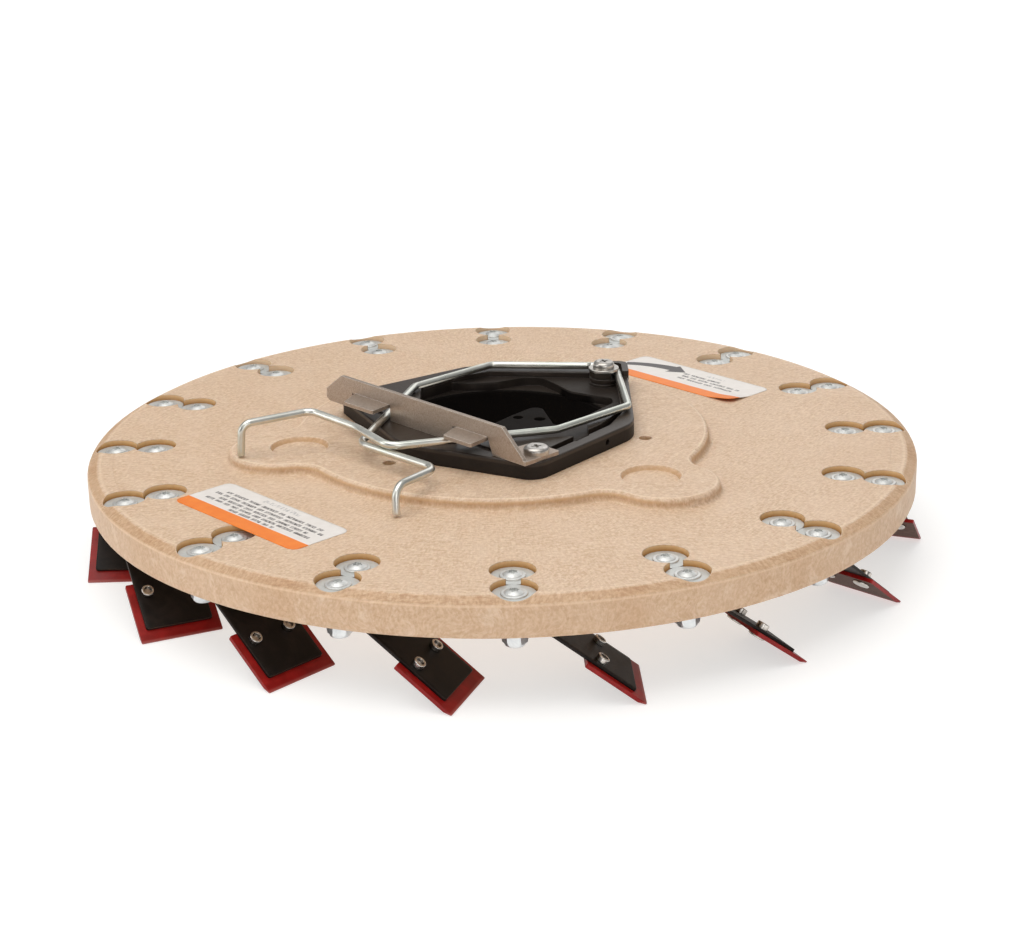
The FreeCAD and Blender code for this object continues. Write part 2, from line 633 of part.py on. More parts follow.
def make_arm_bend():
    """Ring sector joining the flat foot to the slope."""
    def place(radius, angle):
        return V(ARM_R0, BEND_Y + radius * math.sin(angle), BEND_Z + radius * math.cos(angle))

    inner, outer = ARM_BEND_R - HALF_ARM, ARM_BEND_R + HALF_ARM
    half = SLOPE / 2
    outline = Part.Wire([
        Part.makeLine(place(inner, 0), place(outer, 0)),
        Part.Arc(place(outer, 0), place(outer, half), place(outer, SLOPE)).toShape(),
        Part.makeLine(place(outer, SLOPE), place(inner, SLOPE)),
        Part.Arc(place(inner, SLOPE), place(inner, half), place(inner, 0)).toShape(),
    ])
    return Part.Face(outline).extrude(V(ARM_R1 - ARM_R0, 0, 0))


def make_arm():
    foot = prism([(ARM_R0, ARM_FOOT_Y, ARM_FOOT_CORNER_R), (ARM_R1, ARM_FOOT_Y, ARM_FOOT_CORNER_R),
                  (ARM_R1, BEND_Y, 0), (ARM_R0, BEND_Y, 0)], ARM_BOTTOM, BLOCK_BOTTOM)
    slope = slope_plate(ARM_R0, ARM_R1, BEND_LEG, ARM_LEN, -HALF_ARM, HALF_ARM,
                        (0, 0, ARM_TIP_CORNER_R, ARM_TIP_CORNER_R))
    arm = one(foot.fuse([make_arm_bend(), slope]))
    cuts = [cyl(ARM_HOLE_R, BLOCK_BOTTOM - 4, BLOCK_BOTTOM + CLEAR, x, 0)
            for x in STATION_SCREW_AT]
    cuts += [slope_cyl(BLADE_HOLE_R, x, BLADE_BOLT_DOWN, -3, 3) for x in BLADE_BOLT_AT]
    return one(arm.cut(cuts))


def make_blade():
    """Blade under the arm, its underside bevelled to the cutting edge."""
    blade = slope_plate(BLADE_R0, BLADE_R1, BLADE_TOP, BLADE_EDGE, BLADE_UNDER, -HALF_ARM,
                        BLADE_CORNER_RADII)
    start_x = BLADE_R0 - 8
    under = BLADE_UNDER - 0.001
    end = BLADE_EDGE + BEVEL_RUNOUT
    wedge = polygon_face([
        slope_place(start_x, BLADE_EDGE - BEVEL_LEN, under),
        slope_place(start_x, end, under),
        slope_place(start_x, end, BLADE_UNDER + BEVEL_RISE),
    ]).extrude(V(60, 0, 0))
    holes = [slope_cyl(BLADE_HOLE_R, x, BLADE_BOLT_DOWN, -6, 3) for x in BLADE_BOLT_AT]
    return one(blade.cut([wedge] + holes))


def make_blade_screw(x):
    """Low-headed screw from behind the blade."""
    head_out = BLADE_UNDER - TRUSS_H
    head = slope_cyl(TRUSS_R, x, BLADE_BOLT_DOWN, head_out, BLADE_UNDER)
    rim = edges_round(head, slope_place(x, BLADE_BOLT_DOWN, head_out))
    head = head.makeFillet(TRUSS_EDGE_R, rim)
    return one(head.fuse(slope_cyl(BLADE_SCREW_R, x, BLADE_BOLT_DOWN,
                                   BLADE_UNDER - 0.6, HALF_ARM + BLADE_SCREW_OUT)))


def make_barrel_nut(x):
    """Round nut on the arm side."""
    top_out = HALF_ARM + BARREL_H
    barrel = slope_cyl(BARREL_R, x, BLADE_BOLT_DOWN, HALF_ARM, top_out)
    rim = edges_round(barrel, slope_place(x, BLADE_BOLT_DOWN, top_out))
    barrel = barrel.makeFillet(BARREL_EDGE_R, rim)
    return one(barrel.cut(slope_cyl(BLADE_SCREW_R, x, BLADE_BOLT_DOWN,
                                    HALF_ARM - CLEAR, top_out + CLEAR)))


arm = make_arm()
blade = make_blade()
fasteners = [make(x) for x in BLADE_BOLT_AT for make in (make_blade_screw, make_barrel_nut)]
save("spring_arms", *[to_station(arm, k) for k in range(STATIONS)])
for k in range(STATIONS):
    save("scraper_blade_%02d" % (k + 1), to_station(blade, k))
    save("blade_fasteners_%02d" % (k + 1), *[to_station(f, k) for f in fasteners])

# ----------------------------------------------------------------- labels
# Outlines in the latch bar frame: (along, outward, corner radius)
FRONT_LABEL = [(-50.0, 150.2, 4), (49.5, 150.2, 4), (50.5, 187.0, 4), (-51.0, 187.0, 4)]
BACK_LABEL = [(-47.5, -132.4, 4), (53.5, -132.4, 4), (53.5, -169.2, 4), (-47.5, -169.2, 4)]

# the outer edge of the front label bridges one screw pocket
save("label_front", bar_prism(FRONT_LABEL, 0.0, LABEL_T))
# the back label is cut clear of the nearest plateau lobe
lobe_clearance = cyl(LOBE_R + 2.5, -1, 1, LOBES[1].x, LOBES[1].y)
save("label_back", one(bar_prism(BACK_LABEL, 0.0, LABEL_T).cut(lobe_clearance)))
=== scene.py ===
"""A round moulded block carrying sixteen red blades on sprung steel arms.

The block's axis is +Z through the origin. Its upper face lies at z = 0 with the labels on it,
and the arms hang below its underside. The camera looks from -Y, so front is -Y and back is +Y.
A latch bar lies across the front left, and a bent wire runs over the clutch in the middle.
Mesh dimensions are in millimetres; materials, lights and camera are in metres.
"""
import bpy
import bmesh
import math
from functools import cached_property, reduce
from mathutils import Vector, Matrix


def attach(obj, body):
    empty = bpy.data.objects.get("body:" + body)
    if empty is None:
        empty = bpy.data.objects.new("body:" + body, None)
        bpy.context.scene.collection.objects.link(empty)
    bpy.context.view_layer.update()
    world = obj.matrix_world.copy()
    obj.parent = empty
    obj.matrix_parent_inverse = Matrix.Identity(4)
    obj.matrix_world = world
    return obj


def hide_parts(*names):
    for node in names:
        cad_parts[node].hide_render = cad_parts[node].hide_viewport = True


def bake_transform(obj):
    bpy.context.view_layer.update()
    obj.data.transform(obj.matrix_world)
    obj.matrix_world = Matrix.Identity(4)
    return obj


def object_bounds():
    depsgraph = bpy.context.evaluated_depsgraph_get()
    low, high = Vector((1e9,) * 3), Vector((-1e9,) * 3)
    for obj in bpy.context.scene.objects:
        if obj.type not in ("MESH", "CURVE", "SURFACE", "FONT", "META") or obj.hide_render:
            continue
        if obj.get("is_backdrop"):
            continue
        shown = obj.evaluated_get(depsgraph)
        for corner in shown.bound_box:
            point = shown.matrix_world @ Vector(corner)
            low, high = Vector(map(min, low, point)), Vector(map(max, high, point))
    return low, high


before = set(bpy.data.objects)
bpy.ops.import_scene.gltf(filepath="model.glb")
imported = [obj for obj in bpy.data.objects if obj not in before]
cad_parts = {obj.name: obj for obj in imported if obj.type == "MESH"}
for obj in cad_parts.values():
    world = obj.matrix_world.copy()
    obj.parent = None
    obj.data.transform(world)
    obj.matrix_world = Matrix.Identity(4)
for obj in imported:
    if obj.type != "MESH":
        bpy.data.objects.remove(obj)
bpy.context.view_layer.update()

MM = 0.001
MM_PER_METRE = 1000.0

# --------------------------------------------------------------------------
# dimensions shared with the CAD part, in millimetres and degrees
# --------------------------------------------------------------------------
BLOCK_RADIUS, BLOCK_THICKNESS = 228.6, 20.0
STATIONS, FIRST_STATION_ANGLE = 16, -88.84
STATION_STEP = 360.0 / STATIONS

BAR_ANGLE = -47
OUT_ANGLE = BAR_ANGLE + 270
# horizontal directions along the latch bar and outwards from it; the labels use them too
BAR_ALONG = Vector((math.cos(math.radians(BAR_ANGLE)), math.sin(math.radians(BAR_ANGLE)), 0))
BAR_OUT = Vector((math.cos(math.radians(OUT_ANGLE)), math.sin(math.radians(OUT_ANGLE)), 0))

UP = (0, 0, 1)


# --------------------------------------------------------------------------
# shader graph helpers
# --------------------------------------------------------------------------
def math_method(operation, swapped=False):
    """A two-input math node as a method of Value."""
    def method(self, other):
        first, second = (other, self) if swapped else (self, other)
        return self.graph.add("ShaderNodeMath", {0: first, 1: second}, operation=operation)
    return method


class Value:
    """A node output; arithmetic on it adds math nodes to its graph."""

    def __init__(self, graph, socket):
        self.graph = graph
        self.socket = socket

    __add__ = math_method("ADD")
    __radd__ = math_method("ADD", swapped=True)
    __sub__ = math_method("SUBTRACT")
    __rsub__ = math_method("SUBTRACT", swapped=True)
    __mul__ = math_method("MULTIPLY")
    maximum = math_method("MAXIMUM")
    arctan2 = math_method("ARCTAN2")

    def absolute(self):
        return self.graph.add("ShaderNodeMath", {0: self}, operation="ABSOLUTE")

    def sqrt(self):
        return self.graph.add("ShaderNodeMath", {0: self}, operation="SQRT")

    def vector_math(self, operation, other, output=0):
        return self.graph.add("ShaderNodeVectorMath", {0: self, 1: other}, output,
                              operation=operation)

    def stretch(self, factors):
        return self.vector_math("MULTIPLY", factors)

    def shift(self, offset):
        return self.vector_math("ADD", offset)

    def dot(self, direction):
        return self.vector_math("DOT_PRODUCT", direction, "Value")

    def noise(self, scale, detail=4.0, rough=0.55, warp=0.0, colour=False):
        inputs = {"Vector": self, "Scale": scale, "Detail": detail, "Roughness": rough,
                  "Distortion": warp}
        return self.graph.add("ShaderNodeTexNoise", inputs, 1 if colour else 0)

    def ease(self, start, end, at_start=0.0, at_end=1.0):
        """Smooth step between two input values, which may fall as well as rise."""
        inputs = {"Value": self, "From Min": start, "From Max": end, "To Min": at_start,
                  "To Max": at_end}
        return self.graph.add("ShaderNodeMapRange", inputs, "Result",
                              interpolation_type="SMOOTHSTEP")

    def band(self, low, high, soft):
        """1 inside low..high, with each edge blurred by soft to either side."""
        return (self.ease(start=low - soft, end=low + soft)
                * self.ease(start=high + soft, end=high - soft))

    def contrast(self, gain):
        """Spread the value about 0.5."""
        return 0.5 + (self - 0.5) * gain

    def ramp(self, low, high):
        """Colour low where the value is 0, high where it is 1."""
        return self.graph.mix(self, low, high)

    def tint(self, mask, to, amount=None):
        """Move this colour towards another, by mask times amount."""
        return self.graph.mix(mask if amount is None else mask * amount, self, to)

    def times(self, colour):
        return self.graph.mix(1.0, self, colour, "MULTIPLY")

    def bump(self, distance, strength, normal=None):
        inputs = {"Strength": strength, "Distance": distance, "Height": self}
        if normal is not None:
            inputs["Normal"] = normal
        return self.graph.add("ShaderNodeBump", inputs)


class Graph:
    """Adds nodes to a node tree, which is emptied first."""

    def __init__(self, tree):
        self.tree = tree
        tree.nodes.clear()

    def put(self, socket, value):
        if isinstance(value, Value):
            self.tree.links.new(value.socket, socket)
        else:
            socket.default_value = value

    def add(self, kind, inputs, output=0, **settings):
        node = self.tree.nodes.new(kind)
        for name, value in settings.items():
            setattr(node, name, value)
        for key, value in inputs.items():
            self.put(node.inputs[key], value)
        return Value(self, node.outputs[output])

    def mix(self, factor, first, second, mode="MIX"):
        first, second = (c if isinstance(c, Value) else (*c, 1.0) for c in (first, second))
        # 6, 7 and output 2 are the colour sockets of the mix node
        return self.add("ShaderNodeMix", {0: factor, 6: first, 7: second}, 2,
                        data_type="RGBA", blend_type=mode)


class Shader(Graph):
    """A material with one principled surface, textured in object coordinates (metres)."""

    def __init__(self, name):
        self.material = bpy.data.materials.new(name)
        self.material.use_nodes = True
        super().__init__(self.material.node_tree)
        output = self.tree.nodes.new("ShaderNodeOutputMaterial")
        self.surface = self.tree.nodes.new("ShaderNodeBsdfPrincipled")
        self.tree.links.new(self.surface.outputs[0], output.inputs[0])

    @cached_property
    def position(self):
        return self.add("ShaderNodeTexCoord", {}, "Object")

    @cached_property
    def normal(self):
        return self.add("ShaderNodeNewGeometry", {}, "Normal")

    @cached_property
    def axes(self):
        split = self.add("ShaderNodeSeparateXYZ", {0: self.position}).socket.node
        return [Value(self, socket) for socket in split.outputs]

    def combine(self, x, y, z):
        return self.add("ShaderNodeCombineXYZ", {0: x, 1: y, 2: z})

    def round_edges(self, radius):
        return self.add("ShaderNodeBevel", {"Radius": radius}, samples=4)

    def edge_mask(self, rounded):
        """How far the rounded normal leans away from the true one: 1 on edges."""
        return rounded.dot(self.normal).ease(start=0.985, end=0.90)

    def openness(self, distance):
        """Ambient occlusion: 1 in the open, 0 deep in a corner."""
        return self.add("ShaderNodeAmbientOcclusion", {"Distance": distance}, "AO", samples=4)

    def finish(self, **inputs):
        """Set surface inputs, with underscores for spaces, and return the material."""
        for name, value in inputs.items():
            self.put(self.surface.inputs[name.replace("_", " ")], value)
        return self.material


def length(x, y):
    return (x * x + y * y).sqrt()


# --------------------------------------------------------------------------
# materials
# --------------------------------------------------------------------------
# centres of the six ejector circles on the block's upper face, x and y in metres
EJECTOR_MARKS = ((0.190, -0.057), (-0.192, 0.062), (0.042, 0.196),
                 (-0.045, -0.195), (0.135, 0.150), (-0.140, -0.150))


def block_material():
    mat = Shader("moulded_block")
    point = mat.position
    x, y, z = mat.axes
    radius = length(x, y)
    angle = y.arctan2(x)
    level = mat.normal.dot(UP).absolute()
    side = level.ease(start=0.75, end=0.35)
    up = mat.normal.dot(UP).ease(start=0.2, end=0.8)

    # fibres of the flat faces: two directions and a radial set, on a meandering flow
    meander = point.noise(scale=11.0, detail=2.0, rough=0.5, colour=True)
    flow = point.shift(meander.stretch((0.030, 0.030, 0.0)))
    straight = flow.stretch((150.0, 780.0, 260.0)).noise(scale=1.0, rough=0.62)
    # x and y turned by the cosine and sine of about 56 degrees
    turned = mat.combine(x * 0.55 + y * 0.83, y * 0.55 - x * 0.83, z)
    slanted = turned.stretch((190.0, 820.0, 300.0)).noise(scale=1.0, rough=0.62)
    which = point.noise(scale=9.0, detail=2.0).ease(start=0.40, end=0.60)
    fibre_top = straight * (1.0 - which) + slanted * which
    radial = mat.combine(angle * 170.0, radius * 190.0, 0.0).noise(scale=1.0, rough=0.62)
    grain = point.noise(scale=520.0, detail=3.0, rough=0.6)
    # shares of the three patterns
    fibre_top = fibre_top * 0.42 + (radial * 0.30 + grain * 0.28)
    fibre_top = fibre_top.contrast(gain=1.7)

    # short upright fibres on the rim, leaning a little as they go round
    lean = angle + z * ((point.noise(scale=26.0, detail=3.0) - 0.5) * 16.0)
    fibre_side = mat.combine(lean * 235.0, z * 270.0, radius * 200.0)
    fibre_side = fibre_side.noise(scale=1.0, rough=0.65)
    fibre_side = (fibre_side * 0.50 + grain * 0.50).contrast(gain=1.15)
    fibre = fibre_top * (1.0 - side) + fibre_side * side

    speck = point.noise(scale=620.0, detail=3.0, rough=0.6)
    cloud = point.noise(scale=34.0, rough=0.6, warp=0.6)
    broad = point.noise(scale=7.0, detail=3.0)
    colour = fibre.ease(start=0.34, end=0.66).ramp(low=(0.500, 0.318, 0.190),
                                                   high=(0.800, 0.622, 0.458))
    # evened out towards a middle tone, less so on the sides
    colour = colour.tint(0.40 - side * 0.30, to=(0.660, 0.466, 0.312))
    colour = colour.tint(speck.ease(start=0.52, end=0.72), amount=0.50, to=(0.860, 0.715, 0.565))
    colour = colour.tint(speck.ease(start=0.48, end=0.30), amount=0.42, to=(0.520, 0.335, 0.200))
    colour = colour.tint(cloud.ease(start=0.42, end=0.68), amount=0.25, to=(0.775, 0.595, 0.445))
    colour = colour.tint(broad.ease(start=0.45, end=0.70), amount=0.16, to=(0.600, 0.408, 0.265))

    # painted shade on the moulded bevel round the rim: warmer and darker than the face above it
    bevel = (z.band(low=-0.0030, high=-0.0004, soft=0.00035)
             * radius.ease(start=0.2214, end=0.2226) * (1.0 - level.ease(start=0.6, end=0.3)))
    colour = colour.tint(bevel, amount=0.85, to=colour.times((0.80, 0.70, 0.585)))

    def rim_noise(around, upward, offset, detail, rough, along=lean):
        """Noise wrapped round the rim; around and upward set how fine it is each way."""
        return mat.combine(along * around, z * upward, offset).noise(
            scale=1.0, detail=detail, rough=rough)

    # long slow changes of tone along the rim
    slow = rim_noise(around=4.2, upward=14.0, offset=2.0, detail=3.0, rough=0.55, along=angle)
    slow = slow.ease(start=0.50, end=0.66) * side.maximum(bevel)
    colour = colour.tint(slow, amount=0.55, to=colour.times((0.86, 0.76, 0.66)))
    # the rim runs a little browner, with pale fibre bundles and darker knots
    colour = colour.tint(side * z.ease(start=0.0, end=-0.002), amount=0.50,
                         to=(0.595, 0.372, 0.215))
    bundle = rim_noise(around=24.0, upward=75.0, offset=0.0, detail=5.0, rough=0.62)
    colour = colour.tint(bundle.ease(start=0.52, end=0.74) * side, amount=0.55,
                         to=(0.840, 0.675, 0.520))
    knot = rim_noise(around=52.0, upward=150.0, offset=4.0, detail=5.0, rough=0.64)
    colour = colour.tint(knot.ease(start=0.57, end=0.74) * side, amount=0.50,
                         to=(0.460, 0.265, 0.145))

    # painted shade in the sunk pockets: orange brown walls that darken with depth, paler towards
    # the back, over a dark floor
    pocket = (z.band(low=-0.0052, high=-0.0003, soft=0.0003)
              * (side * radius.ease(start=0.2278, end=0.2262)))
    pocket_wall_shade = z.ease(start=-0.0004, end=-0.0030).ramp(low=(0.800, 0.500, 0.225),
                                                    high=(0.560, 0.270, 0.070))
    colour = colour.tint(pocket, amount=0.85, to=pocket_wall_shade)
    colour = colour.tint(pocket * y.ease(start=0.06, end=0.17), amount=0.72,
                         to=(0.820, 0.640, 0.465))
    pocket_floor_shade = (1.0 - side) * z.band(low=-0.0056, high=-0.0036, soft=0.0003)
    colour = colour.tint(pocket_floor_shade, amount=0.6, to=(0.42, 0.22, 0.08))
    # painted shade on the walls of the recesses in the raised centre
    recess_wall_shade = (z.band(low=0.0031, high=0.0054, soft=0.0002)
              * (side * radius.ease(start=0.144, end=0.142)))
    colour = colour.tint(recess_wall_shade, amount=0.45, to=(0.640, 0.395, 0.185))

    # painted shade on the wall of the raised centre, warm, with a painted highlight as a pale line
    # along its top edge
    tilted = level.ease(start=0.985, end=0.90) * radius.ease(start=0.152, end=0.149)
    plateau_wall_shade = tilted * z.band(low=0.0004, high=0.0044, soft=0.0004)
    colour = colour.tint(plateau_wall_shade, amount=0.42, to=(0.600, 0.380, 0.205))
    crest_highlight = ((level.ease(start=0.9995, end=0.990) * level.ease(start=0.88, end=0.95))
             * (z.band(low=0.0044, high=0.0061, soft=0.0003)
                * radius.ease(start=0.152, end=0.149)))
    colour = colour.tint(crest_highlight, amount=0.45, to=(0.860, 0.690, 0.510))

    # painted highlight: paler along every edge of the upward faces
    rounded = mat.round_edges(radius=0.0009)
    edge = mat.edge_mask(rounded)
    colour = colour.tint(edge * up, amount=0.60, to=(0.850, 0.690, 0.520))
    # painted highlights: soft pale lines on the shoulder round the rim and along the lip above it
    shoulder = z.band(low=-0.0040, high=-0.0032, soft=0.0004)
    colour = colour.tint(shoulder * radius.ease(start=0.2268, end=0.2282), amount=0.45,
                         to=(0.820, 0.600, 0.400))
    colour = colour.tint(radius.band(low=0.2211, high=0.2222, soft=0.0006) * up, amount=0.30,
                         to=(0.870, 0.690, 0.500))
    # painted shade in corners, from ambient occlusion, weaker towards the back
    corner_shade = mat.openness(distance=0.006).ease(start=0.85, end=0.35)
    corner_shade = corner_shade * y.ease(start=0.06, end=0.17, at_start=0.28, at_end=0.10)
    colour = colour.tint(corner_shade, to=(0.46, 0.25, 0.09))

    # fine moulding marks on the upper face: witness ring, ejector circles, a fainter seam
    flat = up * z.band(low=-0.0002, high=0.0002, soft=0.0002)
    marks = flat * radius.band(low=0.2144, high=0.2147, soft=0.0002)
    for mark_x, mark_y in EJECTOR_MARKS:
        distance = length(x - mark_x, y - mark_y)
        marks = marks + flat * distance.band(low=0.0066, high=0.0069, soft=0.00015)
    seam_radius = 0.163
    seam = flat * (radius - seam_radius).absolute().ease(start=0.0011, end=0.0)
    marks = marks + seam * 0.5
    colour = colour.tint(marks, amount=0.22, to=(0.50, 0.32, 0.18))

    normal = fibre.bump(distance=0.00035, strength=0.65, normal=rounded)
    normal = speck.bump(distance=0.00018, strength=0.5, normal=normal)
    normal = marks.bump(distance=-0.00012, strength=0.8, normal=normal)
    normal = broad.bump(distance=0.004, strength=0.06, normal=normal)
    return mat.finish(Base_Color=colour, Roughness=0.43 + fibre * 0.20, Specular_IOR_Level=0.40,
                      Subsurface_Weight=0.08, Subsurface_Radius=(1.0, 0.45, 0.2),
                      Subsurface_Scale=0.002, Normal=normal)


def clutch_material():
    mat = Shader("clutch_nylon")
    point = mat.position
    x, y, z = mat.axes
    rounded = mat.round_edges(radius=0.0007)
    edge = mat.edge_mask(rounded)
    fine = point.noise(scale=1400.0, detail=3.0, rough=0.6)
    flow = point.stretch((1.0, 1.0, 2.5)).noise(scale=55.0, detail=5.0, rough=0.6, warp=1.2)
    scuff = point.stretch((1.0, 5.0, 1.0)).noise(scale=130.0, detail=5.0, rough=0.65, warp=0.8)
    up = mat.normal.dot(UP).ease(start=0.6, end=0.95)
    colour = flow.ease(start=0.35, end=0.7).ramp(low=(0.0150, 0.0092, 0.0058),
                                                 high=(0.029, 0.0185, 0.0115))
    # painted light: the upward faces are lighter
    colour = colour.tint(up, amount=0.5, to=(0.038, 0.0255, 0.0165))
    colour = colour.tint(scuff.ease(start=0.58, end=0.74), amount=0.30, to=(0.056, 0.044, 0.035))
    # painted highlight along the edges
    colour = colour.tint(edge, amount=0.5, to=(0.085, 0.070, 0.058))
    dust = point.noise(scale=2600.0, detail=2.0, rough=0.7).ease(start=0.66, end=0.74) * 0.35
    colour = colour.tint(dust * up, to=(0.20, 0.16, 0.125))

    # the throat below the flange is unpolished, with painted shade nearly black
    throat_shade = z.ease(start=0.0118, end=0.0104) * length(x, y).ease(start=0.066, end=0.062)
    # flange and tab inside the rim: dull, with painted shade nearly as dark
    tab_x, tab_y = 0.012, -0.002
    tab = (length(x - tab_x, y - tab_y).ease(start=0.030, end=0.024)
           * z.ease(start=0.0126, end=0.0122))
    flange = z.ease(start=0.0132, end=0.0124) * 0.45
    dull_and_shaded = throat_shade.maximum(tab * 0.88).maximum(flange)
    # the painted shade eases off on the tab's edges, which keep a little of their painted edge
    # highlight
    colour = colour.tint(dull_and_shaded * 0.95 * (1.0 - edge * (tab * 0.25)), to=(0.0035, 0.0030, 0.0028))

    normal = fine.bump(distance=0.00010, strength=0.55, normal=rounded)
    normal = flow.bump(distance=0.0008, strength=0.12, normal=normal)
    return mat.finish(Base_Color=colour, Roughness=0.28 + flow * 0.26 + dull_and_shaded * 0.34,
                      Specular_IOR_Level=0.48 - dull_and_shaded * 0.46, Normal=normal)


def bar_material():
    mat = Shader("latch_bar_steel")
    point = mat.position
    z = mat.axes[2]
    along = point.dot(tuple(BAR_ALONG))
    out = point.dot(tuple(BAR_OUT))
    grain = point.noise(scale=1500.0, rough=0.65)
    mottle = point.noise(scale=480.0, rough=0.62, warp=0.4)
    # faint rolling marks, slanting at 45 degrees
    slanted = mat.combine(along * 420.0 + z * 420.0, z * 1500.0 - along * 1500.0, out * 900.0)
    rolling = slanted.noise(scale=1.0, rough=0.6)
    cloud = point.noise(scale=60.0, detail=5.0, rough=0.62, warp=0.8)
    stain = point.noise(scale=190.0, detail=5.0, rough=0.7, warp=0.4)
    rounded = mat.round_edges(radius=0.00045)
    colour = grain.ease(start=0.20, end=0.80).ramp(low=(0.300, 0.232, 0.182),
                                                   high=(0.510, 0.425, 0.352))
    colour = colour.tint(mottle.ease(start=0.38, end=0.72), amount=0.22, to=(0.600, 0.508, 0.430))
    colour = colour.tint(rolling.ease(start=0.48, end=0.28), amount=0.45,
                         to=(0.225, 0.172, 0.132))
    colour = colour.tint(cloud.ease(start=0.4, end=0.7), amount=0.30, to=(0.400, 0.335, 0.285))
    colour = colour.tint(stain.ease(start=0.58, end=0.80), amount=0.38, to=(0.215, 0.165, 0.130))
    # painted highlight along the edges
    colour = colour.tint(mat.edge_mask(rounded), amount=0.85, to=(0.860, 0.815, 0.755))
    normal = grain.bump(distance=0.00010, strength=0.6, normal=rounded)
    normal = rolling.bump(distance=0.00006, strength=0.45, normal=normal)
    return mat.finish(Base_Color=colour, Metallic=0.70, Roughness=0.36 + mottle * 0.16,
                      Normal=normal)


def metal_material(name, base, dark, rough, grain, wear, radius=0.0003, metallic=1.0, corner_shade_strength=0.0):
    """Plain metal with painted highlights on its edges: wear sets how dark its spots are, and the
    last argument how dark the painted shade in its corners is.
    """
    mat = Shader(name)
    point = mat.position
    rounded = mat.round_edges(radius=radius)
    fine = point.noise(scale=grain, rough=0.6)
    cloud = point.noise(scale=120.0, detail=5.0, rough=0.65, warp=0.5)
    spot = point.noise(scale=420.0, rough=0.7).ease(start=0.60, end=0.76)
    spot_colour = tuple(0.55 * channel for channel in dark)
    edge_highlight_colour = tuple(min(1.0, 1.12 * channel) for channel in base)
    colour = cloud.ease(start=0.35, end=0.68).ramp(low=dark, high=base)
    colour = colour.tint(spot, amount=wear, to=spot_colour)
    # painted highlight along the edges
    colour = colour.tint(mat.edge_mask(rounded), amount=0.6, to=edge_highlight_colour)
    if corner_shade_strength:
        # painted shade in corners, from ambient occlusion
        corners = mat.openness(distance=0.0022).ease(start=0.80, end=0.40)
        colour = colour.tint(corners, amount=corner_shade_strength, to=(0.030, 0.022, 0.017))
    return mat.finish(Base_Color=colour, Metallic=metallic,
                      Roughness=rough + (cloud * 0.10 + spot * 0.18),
                      Normal=fine.bump(distance=0.00004, strength=0.5, normal=rounded))


def wire_material():
    mat = Shader("latch_wire_zinc")
    point = mat.position
    fine = point.noise(scale=500.0, detail=3.0, rough=0.6)
    cloud = point.noise(scale=70.0, detail=3.0, warp=0.4)
    green = point.noise(scale=26.0, detail=3.0, rough=0.5)
    scuff = point.noise(scale=300.0, rough=0.7).ease(start=0.66, end=0.78)
    colour = cloud.ease(start=0.35, end=0.7).ramp(low=(0.62, 0.615, 0.56),
                                                  high=(0.76, 0.755, 0.70))
    colour = colour.tint(green.ease(start=0.45, end=0.62), amount=0.40, to=(0.60, 0.655, 0.575))
    colour = colour.tint(scuff, amount=0.20, to=(0.40, 0.385, 0.345))
    return mat.finish(Base_Color=colour, Metallic=1.0,
                      Roughness=0.25 + (cloud * 0.08 + scuff * 0.12),
                      Normal=fine.bump(distance=0.00002, strength=0.30))


def arm_material():
    mat = Shader("spring_steel_black")
    point = mat.position
    rounded = mat.round_edges(radius=0.0004)
    cloud = point.noise(scale=75.0, detail=5.0, rough=0.62, warp=0.9)
    fine = point.noise(scale=1600.0, detail=3.0, rough=0.6)
    scratch = point.stretch((14.0, 14.0, 1.3)).noise(scale=60.0, detail=5.0, rough=0.75, warp=1.5)
    colour = cloud.ease(start=0.35, end=0.7).ramp(low=(0.0070, 0.0046, 0.0036),
                                                  high=(0.0165, 0.0108, 0.0082))
    colour = colour.tint(scratch.ease(start=0.66, end=0.74), amount=0.25, to=(0.10, 0.080, 0.066))
    # painted highlight along the edges
    colour = colour.tint(mat.edge_mask(rounded), amount=0.75, to=(0.27, 0.135, 0.072))
    return mat.finish(Base_Color=colour, Metallic=0.15, Roughness=0.36 + cloud * 0.26,
                      Specular_IOR_Level=0.22,
                      Normal=fine.bump(distance=0.00007, strength=0.5, normal=rounded))


